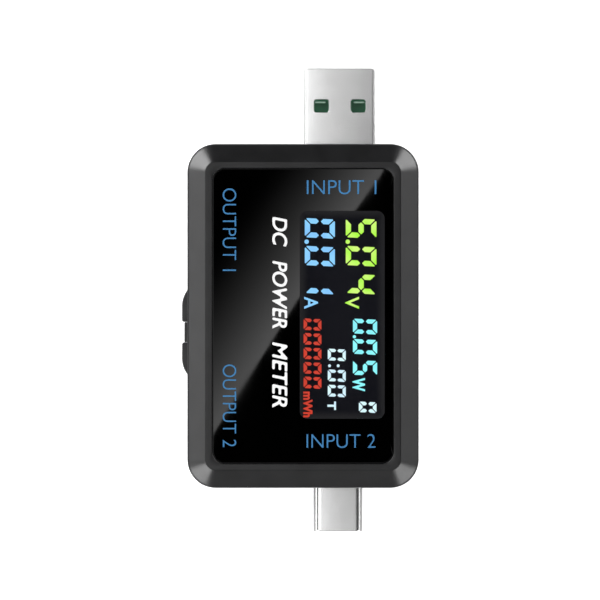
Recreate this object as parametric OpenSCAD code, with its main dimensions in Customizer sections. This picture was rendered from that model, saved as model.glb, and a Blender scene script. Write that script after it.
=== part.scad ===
// A small in-line USB power meter, lying on its back with its display up.
// +X is to the right of the display, +Y is towards the USB-A plug, +Z is out of the display.
// The origin is the centre of the case's back face.

/* [Case] */
// Width of the case
case_w = 39; // [39:0.5:42]
// Length of the case, without the plugs
case_l = 58; // [58:0.5:62]
// Thickness of the case
case_t = 13; // [13:0.1:14]
// Radius of the case's four outer corners
corner_r = 4.8; // [4.6:0.1:5.2]
// Width of the sloping band round the display panel
bevel_w = 3.07; // [2.9:0.01:3.1]
// Height that the sloping band drops
bevel_drop = 2.2; // [1.8:0.1:2.2]
// Chamfer round the back face
back_chamfer = 1.2; // [0.8:0.1:1.4]
// Thickness of the case walls
wall = 1.6; // [1.5:0.05:1.6]
// Height of the joint between the two shells
split_z = 6.5; // [6.5:0.1:6.6]

/* [Display] */
// Width of the glossy display panel
panel_w = 30.4; // [30:0.1:30.7]
// Length of the glossy display panel
panel_l = 49.6; // [49:0.1:49.9]
// Corner radius of the display panel
panel_r = 2.0; // [1.6:0.1:2.2]
// Thickness of the display panel
panel_t = 1.0; // [0.8:0.1:1.0]
// Depth of the display panel below the rim
panel_recess = 0.15; // [0.1:0.05:0.2]
// Distance of the display window to the right of the centre
window_x = 6.6; // [6.4:0.1:6.6]
// Distance of the display window above the centre
window_y = 0.2; // [0:0.1:0.4]
// Width of the visible display window
window_w = 14.3; // [14:0.1:14.3]
// Length of the visible display window
window_l = 35.0; // [34:0.1:35]
// Radius of the display window's corners
window_r = 1.3; // [1:0.1:1.5]

/* [Plugs] */
// Distance of the USB-A plug to the right of the centre
plug_a_x = 6.2; // [6:0.1:6.4]
// Length of the USB-A plug outside the case
plug_a_out = 12.8; // [11.9:0.1:13]
// Distance of the USB-C plug to the right of the centre
plug_c_x = 5.9; // [5.7:0.1:6.1]
// Length of the USB-C plug outside the case
plug_c_out = 7.4; // [6.7:0.1:7.6]

/* [Sockets] */
// Distance of the USB-A socket above the centre
socket_a_y = 14.5; // [14.3:0.1:14.6]
// Distance of the USB-C socket below the centre
socket_c_y = -16.0; // [-16.2:0.1:-15.9]

/* [Keys] */
// Distance of the middle of the key pair from the centre, along the case
keys_y = -2.74; // [-2.8:0.02:-2.6]
// Length of each key along the case
key_l = 5.42; // [5.2:0.02:5.42]
// Half the gap between the two keys
key_gap = 1.73; // [1.7:0.01:1.8]
// Height of each key across the case's thickness
key_h = 4.4; // [4:0.1:4.4]
// Distance that the keys stand out of the case
key_out = 0.93; // [0.8:0.01:1]
// Distance that the rib between the keys stands out of the case
rib_out = 0.53; // [0.4:0.01:0.6]
// Radius of the curve at the outer end of each key
key_curve_r = 4.4; // [4:0.1:4.6]
// Distance that a key can be pushed in
key_travel = 0.3; // [0.2:0.05:0.3]

/* [Hidden] */

$fn = 96;
over = 0.1;                 // how far a cut runs past a surface

// Case
half_w = case_w / 2;
half_l = case_l / 2;
bevel_z = case_t - bevel_drop;
inner_w = case_w - 2 * wall;
inner_l = case_l - 2 * wall;
inner_r = corner_r - wall;
deck_t = 1.0;
adhesive_t = 0.15;
deck_top = case_t - panel_recess - panel_t - adhesive_t;
deck_z = deck_top - deck_t;
panel_play = 0.1;           // gap round the display panel
deck_window_w = window_w + 1.3;
deck_window_l = window_l + 1.4;
lip_t = 0.7;
lip_h = 0.9;
lip_play = 0.1;

// Main board
board_z = 3.05;
board_t = 1.2;
board_top = board_z + board_t;
board_w = 34.6;
board_l = 53.4;
board_r = 2.0;
board_bottom_pins = 2.6;    // height of the ends of the soldered pins, below the board
notch_d = 1.0;              // notch in the board behind the key flanges

// Case screws, M2 self-tapping
screw_x = 15.2;
screw_y = 24.8;
screw_r = 0.98;
pilot_r = 1.0;
screw_hole_r = 1.2;
head_r = 1.9;
head_t = 1.3;
head_recess = 0.2;
counterbore_r = 2.1;
boss_r = 2.2;
standoff_r = 2.3;
screw_tip_z = 8.5;
screw_places = [for (sx = [-1, 1], sy = [-1, 1]) [sx * screw_x, sy * screw_y]];

// Display stack, from the board up
lcd_w = 17.6;
lcd_l = 38.6;
lcd_x = window_x + 0.2;
ledge_w = 1.2;              // ledge of the bottom glass that the pins grip
frame_z = 5.9;
frame_floor = 0.6;
frame_wall = 0.5;
reflector_t = 0.15;
guide_t = 2.0;
film_t = 0.2;
glass_t = 0.7;
reflector_z = frame_z + frame_floor;
guide_z = reflector_z + reflector_t;
diffuser_z = guide_z + guide_t;
rear_polariser_z = diffuser_z + film_t;
bottom_glass_z = rear_polariser_z + film_t;
top_glass_z = bottom_glass_z + glass_t;
front_polariser_z = top_glass_z + glass_t;
film_w = lcd_w - 2 * frame_wall - 0.2;
film_l = lcd_l - 2 * frame_wall - 0.2;
led_bay = 1.7;              // room for the LEDs at the end of the light guide
guide_l = film_l - led_bay;
pin_count = 20;
pin_pitch = 1.8;
pin_x = lcd_x - lcd_w / 2 - ledge_w - 0.22;

// USB-A sizes, from the standard
a_plug_w = 12.0;
a_plug_h = 4.5;
a_sheet = 0.3;
a_window_w = 2.5;
a_window_l = 2.2;
a_window_x = 3.12;          // distance of the latch windows from the plug's centre line
a_window_tip = 5.24;        // distance of the latch windows from the plug's tip
a_insulator_t = 1.95;
a_contact_w = 1.0;
a_contact_t = 0.2;
a_contact_x = [-3.5, -1.0, 1.0, 3.5];
a_plug_inside = 5.5;        // length of the plug behind the case's end face
a_plug_z = board_top + a_plug_h / 2;
a_plug_tip = half_l + plug_a_out;
a_plug_rear = half_l - a_plug_inside;
a_block_l = 6.5;            // full-height part of the insulator, behind the tongue

a_socket_w = 12.5;
a_socket_h = 5.12;
a_socket_l = 14;
a_socket_z = board_top + a_sheet + a_socket_h / 2;
a_tongue_t = 1.84;
a_tongue_w = 11.1;
a_tongue_l = 9.0;
a_socket_block = 2.1;
socket_set_back = 0.2;      // distance of a socket's mouth behind the case's side face
socket_mouth_x = -half_w + socket_set_back;

// USB-C sizes, from the standard
c_plug_w = 8.25;
c_plug_h = 2.4;
c_sheet = 0.2;
c_slot_w = 6.9;
c_slot_h = 1.0;
c_slot_l = 6.2;
c_pitch = 0.5;
c_contact_w = 0.25;
c_contact_t = 0.12;
c_contacts = 12;
c_plug_z = split_z;
c_plug_tip = -half_l - plug_c_out;
c_plug_rear = -half_l + 3.5;
c_board_t = c_slot_h - 2 * c_contact_t;
c_board_w = 11;
c_board_l = 4.8;
c_board_front = c_plug_rear + 0.1;
c_header_pitch = 2.54;

c_socket_w = 8.34;
c_socket_h = 2.56;
c_socket_sheet = 0.3;
c_socket_l = 7.35;
c_socket_z = board_top + c_socket_sheet + c_socket_h / 2;
c_tongue_w = 6.69;
c_tongue_t = 0.7;
c_socket_block = 0.95;

// Keys and their switches
key_z = split_z;
key_play = 0.12;
flange_t = 0.5;
flange_edge = 0.5;
flange_x = -half_w + wall + 0.1;    // outer face of the key flanges
key_nub_end = -16.5;
key_corner_r = 0.35;
switch_x = -15.4;           // outer face of a switch's housing
switch_d = 3.6;
switch_l = 6.0;
switch_h = 4.3;
cover_t = 0.2;
plunger_r = 1.0;
plunger_bore_r = 1.06;
plunger_bore_d = 2.0;       // depth of the bore in a switch's housing
dome_t = 0.12;
dome_gap = 0.18;            // left under a plunger when its key is fully in
plunger_end = switch_x + plunger_bore_d - dome_t - dome_gap - key_travel;
upper_key_y = keys_y + key_gap + key_l / 2;
lower_key_y = keys_y - key_gap - key_l / 2;
key_centres = [upper_key_y, lower_key_y];

// Part placing on the board
under_lcd_x = 3.0;

// ---------- shapes used by several parts ----------

// Rectangle with round corners, centred
module rounded_rect(w, l, r) {
    square([w - 2 * r, l], center = true);
    square([w, l - 2 * r], center = true);
    for (sx = [-1, 1], sy = [-1, 1])
        translate([sx * (w / 2 - r), sy * (l / 2 - r)]) circle(r);
}

// Upright block with round corners
module rounded_block(w, l, h, r) {
    linear_extrude(h) rounded_rect(w, l, r);
}

// Block with round corners whose four sides slope from the size at its foot to inset less at its top
module sloping_block(w, l, h, r, inset) {
    cx = w / 2 - r;
    cy = l / 2 - r;
    rotate([90, 0, 0]) linear_extrude(2 * cy, center = true)
        polygon([[-w / 2, 0], [w / 2, 0], [w / 2 - inset, h], [inset - w / 2, h]]);
    rotate([90, 0, 90]) linear_extrude(2 * cx, center = true)
        polygon([[-l / 2, 0], [l / 2, 0], [l / 2 - inset, h], [inset - l / 2, h]]);
    for (sx = [-1, 1], sy = [-1, 1])
        translate([sx * cx, sy * cy, 0]) cylinder(h = h, r1 = r, r2 = r - inset);
}

// Shape with half-round ends, centred
module stadium(w, h) {
    square([w - h, h], center = true);
    for (s = [-1, 1]) translate([s * (w - h) / 2, 0]) circle(h / 2);
}

// Upright outline in X and Z, pulled from one Y to another
module along_y(y0, y1) {
    translate([0, y1, 0]) rotate([90, 0, 0]) linear_extrude(y1 - y0) children();
}

// Upright outline in Y and Z, pulled from one X to another
module along_x(x0, x1) {
    translate([x0, 0, 0]) rotate([90, 0, 90]) linear_extrude(x1 - x0) children();
}

// Box between two corners
module box(low, high) {
    translate(low) cube(high - low);
}

// Box on the board with its centre at a place
module board_box(place, size) {
    translate([place[0] - size[0] / 2, place[1] - size[1] / 2, board_top]) cube(size);
}

// Outline of both USB-A parts
module a_outline(w, h) {
    rounded_rect(w, h, 0.5);
}

// ---------- case ----------

// Openings through the end and side walls, for both shells
module case_openings() {
    along_y(half_l - wall - lip_t - over, half_l + over)
        translate([plug_a_x, a_plug_z]) rounded_rect(a_plug_w + 0.3, a_plug_h + 0.3, 0.6);
    along_y(-half_l - over, -half_l + wall + lip_t + over)
        translate([plug_c_x, c_plug_z]) stadium(c_plug_w + 0.2, c_plug_h + 0.2);
    along_x(-half_w - over, -half_w + wall + lip_t + over)
        translate([socket_a_y, a_socket_z])
            rounded_rect(a_socket_w + 2 * a_sheet + 0.4, a_socket_h + 2 * a_sheet + 0.4, 0.7);
    along_x(-half_w - over, -half_w + wall + lip_t + over)
        translate([socket_c_y, c_socket_z])
            stadium(c_socket_w + 2 * c_socket_sheet + 0.4, c_socket_h + 2 * c_socket_sheet + 0.4);
    for (y = key_centres)
        along_x(-half_w - rib_out - over, -half_w + wall + lip_t + over)
            translate([y, key_z])
                square([key_l + 2 * key_play, key_h + 2 * key_play], center = true);
}

// Room behind the side wall for the key flanges, so that the joint's lip stays clear of them
module flange_room() {
    for (y = key_centres)
        box([-half_w + wall - lip_t - lip_play, y - key_l / 2 - flange_edge - 0.2,
             key_z - key_h / 2 - flange_edge - 0.2],
            [-half_w + wall + over, y + key_l / 2 + flange_edge + 0.2,
             key_z + key_h / 2 + flange_edge + 0.2]);
}

// Half of the low rib between the two keys
module key_rib(z0, z1) {
    rib_l = 2 * (key_gap - key_play);
    box([-half_w - rib_out, keys_y - rib_l / 2, z0], [-half_w + over, keys_y + rib_l / 2, z1]);
}

// Lower half of the case, with the joint's lip and the standoffs under the board
module back_shell() {
    lip_w = inner_w + 2 * lip_t;
    lip_l = inner_l + 2 * lip_t;
    color("#26272a") difference() {
        union() {
            translate([0, 0, back_chamfer])
                rounded_block(case_w, case_l, split_z - back_chamfer, corner_r);
            mirror([0, 0, 1]) translate([0, 0, -back_chamfer])
                sloping_block(case_w, case_l, back_chamfer, corner_r, back_chamfer);
            difference() {
                translate([0, 0, split_z]) rounded_block(lip_w, lip_l, lip_h, inner_r + lip_t);
                flange_room();
            }
            key_rib(key_z - key_h / 2, split_z);
        }
        difference() {
            translate([0, 0, wall])
                rounded_block(inner_w, inner_l, split_z + lip_h, inner_r);
            for (p = screw_places)
                translate([p[0], p[1], 0]) cylinder(h = board_z, r = standoff_r);
            for (sy = [-1, 1])
                translate([0, sy * 12, 0]) cylinder(h = board_z, r = 1.2);
        }
        case_openings();
        for (p = screw_places) {
            translate([p[0], p[1], -over])
                cylinder(h = head_recess + head_t + over, r = counterbore_r);
            translate([p[0], p[1], -over]) cylinder(h = board_z + 2 * over, r = screw_hole_r);
        }
    }
}

// Upper half of the case: sloping band, rim, deck under the panel and four screw bosses
module front_shell() {
    rebate_w = inner_w + 2 * (lip_t + lip_play);
    rebate_l = inner_l + 2 * (lip_t + lip_play);
    recess_w = panel_w + 2 * panel_play;
    recess_l = panel_l + 2 * panel_play;
    boss_z = board_top + 0.05;
    color("#2b2c2f") {
        difference() {
            union() {
                translate([0, 0, split_z])
                    rounded_block(case_w, case_l, bevel_z - split_z, corner_r);
                translate([0, 0, bevel_z])
                    sloping_block(case_w, case_l, bevel_drop, corner_r, bevel_w);
                key_rib(split_z, key_z + key_h / 2);
            }
            translate([0, 0, split_z - over])
                rounded_block(inner_w, inner_l, deck_z - split_z + over, inner_r);
            translate([0, 0, split_z - over])
                rounded_block(rebate_w, rebate_l, lip_h + lip_play + over,
                              inner_r + lip_t + lip_play);
            translate([0, 0, deck_top])
                rounded_block(recess_w, recess_l, case_t - deck_top + over, panel_r + panel_play);
            translate([window_x, window_y, deck_z - over])
                rounded_block(deck_window_w, deck_window_l, deck_t + 2 * over, window_r);
            case_openings();
        }
        for (p = screw_places)
            difference() {
                translate([p[0], p[1], boss_z]) cylinder(h = deck_z - boss_z, r = boss_r);
                translate([p[0], p[1], boss_z - over])
                    cylinder(h = screw_tip_z + 0.5 - boss_z + over, r = pilot_r);
            }
    }
}

// Four self-tapping screws, put in from the back
module case_screws() {
    driver_w = 1.1;
    color("#8d9196") for (p = screw_places)
        translate([p[0], p[1], head_recess]) difference() {
            union() {
                cylinder(h = head_t, r = head_r);
                translate([0, 0, head_t]) cylinder(h = screw_tip_z - head_t - head_recess, r = screw_r);
            }
            for (a = [0, 90])
                rotate([0, 0, a]) translate([-driver_w, -0.2, -over])
                    cube([2 * driver_w, 0.4, 0.8]);
        }
}

// ---------- display panel ----------

// Glossy panel set into the front shell
module display_window() {
    color("#0a0a0c") translate([0, 0, case_t - panel_recess - panel_t])
        rounded_block(panel_w, panel_l, panel_t, panel_r);
}

// Adhesive sheet between the panel and the deck
module window_adhesive() {
    color("#d9d6c8") translate([0, 0, deck_top]) linear_extrude(adhesive_t) difference() {
        rounded_rect(panel_w - 0.8, panel_l - 0.8, panel_r - 0.4);
        translate([window_x, window_y])
            rounded_rect(deck_window_w + 0.4, deck_window_l + 0.4, window_r + 0.2);
    }
}

// ---------- liquid crystal display and its backlight ----------

// Flat sheet in the display stack
module display_sheet(w, l, z, t) {
    translate([lcd_x - w / 2, window_y - l / 2, z]) cube([w, l, t]);
}

module lcd_front_polariser() {
    color("#1c1d22") display_sheet(film_w, film_l, front_polariser_z, film_t);
}

module lcd_top_glass() {
    color("#9fb4bd", 0.6) display_sheet(lcd_w, lcd_l, top_glass_z, glass_t);
}

// The bottom glass is wider than the top one on the side of the pins
module lcd_bottom_glass() {
    color("#8fa6b0", 0.6)
        translate([lcd_x - lcd_w / 2 - ledge_w, window_y - lcd_l / 2, bottom_glass_z])
            cube([lcd_w + ledge_w, lcd_l, glass_t]);
}

module lcd_rear_polariser() {
    color("#26272e") display_sheet(film_w, film_l, rear_polariser_z, film_t);
}

// Row of pins from the bottom glass's ledge down through the board
module lcd_pins() {
    pin_w = 0.4;
    pin_t = 0.25;
    finger_l = 0.9;
    color("#c9c7bd") for (i = [0 : pin_count - 1]) {
        y = window_y + (i - (pin_count - 1) / 2) * pin_pitch;
        translate([pin_x - pin_t / 2, y - pin_w / 2, board_bottom_pins])
            cube([pin_t, pin_w, top_glass_z + pin_t - board_bottom_pins]);
        translate([pin_x - pin_t / 2, y - pin_w / 2, top_glass_z])
            cube([finger_l, pin_w, pin_t]);
    }
}

module backlight_diffuser() {
    color("#f2f2ee") display_sheet(film_w, film_l, diffuser_z, film_t);
}

// The light guide leaves room at its upper end for the LEDs
module light_guide() {
    color("#e6eef2", 0.8)
        translate([lcd_x - film_w / 2, window_y - film_l / 2, guide_z])
            cube([film_w, guide_l, guide_t]);
}

module backlight_reflector() {
    color("#ffffff") display_sheet(film_w, film_l, reflector_z, reflector_t);
}

// White tray that holds the light guide, on four feet
module backlight_frame() {
    foot_r = 0.6;
    color("#f4f4f0") {
        difference() {
            display_sheet(lcd_w, lcd_l, frame_z, bottom_glass_z - frame_z);
            display_sheet(film_w + 0.2, film_l + 0.2, reflector_z, bottom_glass_z - reflector_z + over);
        }
        for (sx = [-1, 1], sy = [-1, 1])
            translate([lcd_x + sx * (lcd_w / 2 - 1), window_y + sy * (lcd_l / 2 - 1), board_top])
                cylinder(h = frame_z - board_top, r = foot_r);
    }
}

// Three white LEDs that shine into the end of the light guide
module backlight_leds() {
    led = [3.0, 1.2, 1.2];
    led_y = window_y + film_l / 2 - led_bay + 0.1;
    color("#fff6c8") for (i = [-1 : 1])
        translate([lcd_x + i * 5 - led[0] / 2, led_y, guide_z]) cube(led);
}

// ---------- main board ----------

// Slots and holes for everything that is soldered through the board
module board_holes() {
    for (p = screw_places)
        translate(p) circle(1.3);
    for (i = [0 : pin_count - 1])
        translate([pin_x, window_y + (i - (pin_count - 1) / 2) * pin_pitch]) circle(0.4);
    for (x = a_contact_x)
        translate([plug_a_x + x, a_plug_rear - 0.75]) square([1.2, 0.5], center = true);
    for (s = [-1, 1])
        translate([plug_a_x + s * (a_plug_w - a_sheet) / 2, a_plug_rear + 1.2])
            square([0.6, 1.4], center = true);
    for (y = a_contact_x)
        translate([a_socket_tail_x(), socket_a_y + y]) square([0.5, 1.2], center = true);
    for (x = a_socket_legs, s = [-1, 1])
        translate([socket_mouth_x + x, socket_a_y + s * (a_socket_w + a_sheet) / 2])
            square([1.4, 0.6], center = true);
    for (x = c_socket_legs, s = [-1, 1])
        translate([socket_mouth_x + x, socket_c_y + s * (c_socket_w + c_socket_sheet) / 2])
            square([1.2, 0.6], center = true);
    for (i = [0 : 3])
        translate([header_x(i), header_y()]) circle(0.45);
}

// Main circuit board, notched behind the keys
module main_board() {
    notch_l = 2 * (key_gap + key_l + flange_edge + 0.4);
    color("#1d5c3a") difference() {
        translate([0, 0, board_z]) linear_extrude(board_t) difference() {
            rounded_rect(board_w, board_l, board_r);
            board_holes();
            translate([-board_w / 2 + notch_d / 2 - over / 2, keys_y])
                square([notch_d + over, notch_l], center = true);
        }
    }
}

// Places of the chips, as [x, y], and the size of each body
mcu_place = [under_lcd_x + 4, -6];
mcu_size = [7, 7, 1.0];
amplifier_place = [under_lcd_x + 3, 8];
amplifier_size = [3.9, 4.9, 1.35];
memory_place = [under_lcd_x + 9.5, 8];
memory_size = [3.9, 4.9, 1.35];
lead_size = [0.3, 0.9, 0.15];

module microcontroller() {
    color("#1a1a1c") board_box(mcu_place, mcu_size);
}

module current_sense_amplifier() {
    color("#1a1a1c") board_box(amplifier_place, amplifier_size);
}

module memory_chip() {
    color("#1a1a1c") board_box(memory_place, memory_size);
}

// Soldered leads along two sides of a chip, or along all four
module lead_rows(place, size, count, pitch, four_sides) {
    for (turn = four_sides ? [0, 90, 180, 270] : [90, 270])
        translate([place[0], place[1], board_top]) rotate([0, 0, turn])
            for (i = [0 : count - 1])
                translate([(i - (count - 1) / 2) * pitch - lead_size[0] / 2,
                           (turn % 180 == 0 ? size[1] : size[0]) / 2, 0])
                    cube(lead_size);
}

module chip_leads() {
    color("#c4c6c8") {
        lead_rows(mcu_place, mcu_size, 12, 0.5, true);
        lead_rows(amplifier_place, amplifier_size, 4, 1.27, false);
        lead_rows(memory_place, memory_size, 4, 1.27, false);
    }
}

module voltage_regulator() {
    color("#1a1a1c") board_box([-9, 5.4], [4.5, 2.5, 1.5]);
}

module shunt_resistor() {
    color("#50545a") board_box([under_lcd_x + 6, 15], [6.4, 3.2, 0.6]);
}

module crystal() {
    color("#c9ccd0") board_box([under_lcd_x + 10.5, -6], [3.2, 1.5, 0.8]);
}

// Wound inductor of the internal supply
module supply_inductor() {
    color("#2c2c2e") {
        board_box([-7.4, -0.5], [5.2, 5.2, 0.8]);
        translate([-7.4, -0.5, board_top + 0.8]) cylinder(h = 2.2, r = 2.3);
    }
}

// Round storage capacitor of the internal supply
module storage_capacitor() {
    color("#b9bcc0") {
        board_box([-7.4, -7.6], [5.3, 5.3, 0.5]);
        translate([-7.4, -7.6, board_top + 0.5]) cylinder(h = 4.9, r = 2.5);
    }
}

module ceramic_capacitors() {
    color("#b08d5c") {
        for (i = [0 : 4]) board_box([under_lcd_x + 0.5 + 2.4 * i, -13], [1.2, 2.0, 0.9]);
        for (i = [0 : 2]) board_box([under_lcd_x + 0.5 + 2.4 * i, 3.4], [1.0, 1.6, 0.8]);
    }
}

module chip_resistors() {
    color("#2a2a2a") {
        for (i = [0 : 5]) board_box([under_lcd_x + 0.5 + 2.0 * i, -16.4], [0.9, 1.6, 0.45]);
        for (i = [0 : 3]) board_box([under_lcd_x + 1 + 2.4 * i, 0.3], [0.9, 1.6, 0.45]);
    }
}

// ---------- USB-A plug ----------

// Folded steel shell with two latch windows on each flat side and two solder legs
module usb_a_plug_shell() {
    window_y0 = a_plug_tip - a_window_tip - a_window_l;
    leg_w = 1.1;
    color("#c8cacc") {
        difference() {
            along_y(a_plug_rear, a_plug_tip) translate([plug_a_x, a_plug_z]) difference() {
                a_outline(a_plug_w, a_plug_h);
                rounded_rect(a_plug_w - 2 * a_sheet, a_plug_h - 2 * a_sheet, 0.2);
            }
            for (s = [-1, 1])
                translate([plug_a_x + s * a_window_x - a_window_w / 2, window_y0,
                           a_plug_z - a_plug_h])
                    cube([a_window_w, a_window_l, 2 * a_plug_h]);
        }
        for (s = [-1, 1])
            translate([plug_a_x + s * (a_plug_w - a_sheet) / 2 - a_sheet / 2,
                       a_plug_rear + 1.2 - leg_w / 2, board_bottom_pins])
                cube([a_sheet, leg_w, board_top + 0.8 - board_bottom_pins]);
    }
}

// Moulded insulator: a full block in the case and a tongue against the display side
module usb_a_plug_insulator() {
    inner_h = a_plug_h - 2 * a_sheet;
    top_z = a_plug_z + inner_h / 2;
    tongue_z = top_z - a_insulator_t;
    tongue_w = a_plug_w - 2 * a_sheet - 0.4;
    tip_gap = 0.5;
    pocket_d = 0.5;
    window_y0 = a_plug_tip - a_window_tip - a_window_l;
    color("#14532f") difference() {
        union() {
            translate([plug_a_x, 0, 0]) along_y(a_plug_rear, a_plug_rear + a_block_l)
                translate([0, a_plug_z])
                    rounded_rect(a_plug_w - 2 * a_sheet, inner_h, 0.2);
            box([plug_a_x - tongue_w / 2, a_plug_rear + a_block_l - over, tongue_z],
                [plug_a_x + tongue_w / 2, a_plug_tip - tip_gap, top_z]);
        }
        for (x = a_contact_x)
            translate([plug_a_x + x - a_contact_w / 2, a_plug_rear - over, tongue_z - over])
                cube([a_contact_w, a_plug_tip - a_plug_rear, a_contact_t + over]);
        for (s = [-1, 1])
            translate([plug_a_x + s * a_window_x - a_window_w / 2 + 0.1, window_y0,
                       top_z - pocket_d])
                cube([a_window_w - 0.2, a_window_l - 0.5, pocket_d + over]);
    }
}

// Four contact strips on the tongue, bent down through the board behind the plug
module usb_a_plug_contacts() {
    tongue_z = a_plug_z + a_plug_h / 2 - a_sheet - a_insulator_t;
    color("#d7b46a") for (i = [0 : 3]) {
        outer_pin = (i == 0 || i == 3);
        tip_gap = outer_pin ? 1.1 : 2.1;
        x = plug_a_x + a_contact_x[i];
        box([x - a_contact_w / 2, a_plug_rear - 0.9, tongue_z],
            [x + a_contact_w / 2, a_plug_tip - tip_gap, tongue_z + a_contact_t]);
        box([x - a_contact_w / 2, a_plug_rear - 0.9, board_bottom_pins],
            [x + a_contact_w / 2, a_plug_rear - 0.6, tongue_z + a_contact_t]);
    }
}

// ---------- USB-C plug ----------

module usb_c_plug_shell() {
    color("#c8cacc") along_y(c_plug_tip, c_plug_rear) translate([plug_c_x, c_plug_z])
        difference() {
            stadium(c_plug_w, c_plug_h);
            stadium(c_plug_w - 2 * c_sheet, c_plug_h - 2 * c_sheet);
        }
}

// Place of one of the contacts of a USB-C part, from its centre line
function c_contact_place(i) = (i - (c_contacts - 1) / 2) * c_pitch;

// Moulded insulator with the slot for a socket's tongue
module usb_c_plug_insulator() {
    tip_gap = 0.3;
    latch_slot_w = c_slot_w + 0.5;
    color("#17181a") difference() {
        along_y(c_plug_tip + tip_gap, c_plug_rear) translate([plug_c_x, c_plug_z])
            stadium(c_plug_w - 2 * c_sheet, c_plug_h - 2 * c_sheet);
        box([plug_c_x - c_slot_w / 2, c_plug_tip, c_plug_z - c_slot_h / 2],
            [plug_c_x + c_slot_w / 2, c_plug_tip + c_slot_l, c_plug_z + c_slot_h / 2]);
        box([plug_c_x - latch_slot_w / 2, c_plug_tip, c_plug_z - 0.3],
            [plug_c_x + latch_slot_w / 2, c_plug_tip + c_slot_l + 1.5, c_plug_z + 0.3]);
        for (i = [0 : c_contacts - 1], side = [-1, 1]) {
            x = plug_c_x + c_contact_place(i);
            z = c_plug_z + side * (c_slot_h - c_contact_t) / 2;
            translate([x - c_contact_w / 2, c_plug_tip + c_slot_l - over, z - c_contact_t / 2])
                cube([c_contact_w, c_plug_rear - c_plug_tip, c_contact_t]);
        }
    }
}

// Two rows of contact strips, which reach back over both faces of the plug board
module usb_c_plug_contacts() {
    color("#d7b46a") for (i = [0 : c_contacts - 1], side = [-1, 1]) {
        x = plug_c_x + c_contact_place(i);
        z = c_plug_z + side * (c_slot_h - c_contact_t) / 2;
        box([x - c_contact_w / 2, c_plug_tip + 1.2, z - c_contact_t / 2],
            [x + c_contact_w / 2, c_plug_rear + 1.6, z + c_contact_t / 2]);
    }
}

// Steel latch springs at both ends of the slot
module usb_c_plug_latches() {
    color("#b8babd") for (s = [-1, 1])
        translate([plug_c_x + s * (c_slot_w / 2 + 0.1) - 0.1, c_plug_tip + 0.9, c_plug_z - 0.3])
            cube([0.2, 6.2, 0.6]);
}

function header_x(i) = plug_c_x + (i - 1.5) * c_header_pitch;
function header_y() = c_board_front + 3.6;

// Small board that carries the USB-C plug at the height of the case's joint
module plug_board() {
    color("#1d5c3a") translate([0, 0, c_plug_z - c_board_t / 2]) linear_extrude(c_board_t)
        difference() {
            translate([plug_c_x - c_board_w / 2, c_board_front]) square([c_board_w, c_board_l]);
            for (i = [0 : 3]) translate([header_x(i), header_y()]) circle(0.4);
        }
}

// Plastic spacer of the pin header between the two boards
module plug_board_spacer() {
    color("#1a1a1c") translate([0, 0, board_top])
        linear_extrude(c_plug_z - c_board_t / 2 - board_top) difference() {
            translate([plug_c_x, header_y()]) square([4 * c_header_pitch, 2.0], center = true);
            for (i = [0 : 3]) translate([header_x(i), header_y()]) circle(0.36);
        }
}

// Four header pins that join the two boards
module plug_board_pins() {
    color("#d7b46a") for (i = [0 : 3])
        translate([header_x(i), header_y(), board_bottom_pins])
            cylinder(h = c_plug_z + c_board_t / 2 + 0.4 - board_bottom_pins, r = 0.32);
}

// ---------- USB-A socket ----------

a_socket_legs = [4.2, 11.5];
function a_socket_tail_x() = socket_mouth_x + a_socket_l + 0.15;
a_socket_tongue_z = a_socket_z + 0.07;

// Folded steel shell with four solder legs and a spring slot in its top
module usb_a_socket_shell() {
    leg_w = 1.1;
    color("#c8cacc") {
        difference() {
            along_x(socket_mouth_x, socket_mouth_x + a_socket_l)
                translate([socket_a_y, a_socket_z]) difference() {
                    a_outline(a_socket_w + 2 * a_sheet, a_socket_h + 2 * a_sheet);
                    rounded_rect(a_socket_w, a_socket_h, 0.2);
                }
            for (s = [-1, 1])
                translate([socket_mouth_x + 3, socket_a_y + s * 3.1 - 1.25,
                           a_socket_z + a_socket_h / 2 - over])
                    difference() {
                        cube([7, 2.5, a_sheet + 2 * over]);
                        translate([-over, 0.4, -over]) cube([6.6 + over, 1.7, 1]);
                    }
        }
        for (x = a_socket_legs, s = [-1, 1])
            translate([socket_mouth_x + x - leg_w / 2,
                       socket_a_y + s * (a_socket_w + a_sheet) / 2 - a_sheet / 2,
                       board_bottom_pins])
                cube([leg_w, a_sheet, board_top + 0.8 - board_bottom_pins]);
    }
}

// Moulded insulator: a block at the back and a tongue whose contacts face the board
module usb_a_socket_insulator() {
    rear_x = socket_mouth_x + a_socket_l;
    block_x = rear_x - a_socket_block;
    color("#14532f") difference() {
        union() {
            along_x(block_x, rear_x) translate([socket_a_y, a_socket_z])
                rounded_rect(a_socket_w, a_socket_h, 0.2);
            box([block_x - a_tongue_l, socket_a_y - a_tongue_w / 2, a_socket_tongue_z],
                [block_x + over, socket_a_y + a_tongue_w / 2, a_socket_tongue_z + a_tongue_t]);
        }
        for (y = a_contact_x)
            translate([block_x - over, socket_a_y + y - a_contact_w / 2,
                       a_socket_tongue_z - a_contact_t])
                cube([a_socket_block + 2 * over, a_contact_w, a_contact_t]);
    }
}

// Four contact strips under the tongue, bent down through the board
module usb_a_socket_contacts() {
    rear_x = socket_mouth_x + a_socket_l;
    block_x = rear_x - a_socket_block;
    color("#d7b46a") for (y = a_contact_x) {
        low_y = socket_a_y + y - a_contact_w / 2;
        high_y = socket_a_y + y + a_contact_w / 2;
        box([block_x - a_tongue_l + 0.8, low_y, a_socket_tongue_z - a_contact_t],
            [rear_x + 0.3, high_y, a_socket_tongue_z]);
        box([rear_x, low_y, board_bottom_pins], [rear_x + 0.3, high_y, a_socket_tongue_z]);
    }
}

// ---------- USB-C socket ----------

c_socket_legs = [3.2, 6.4];

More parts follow.
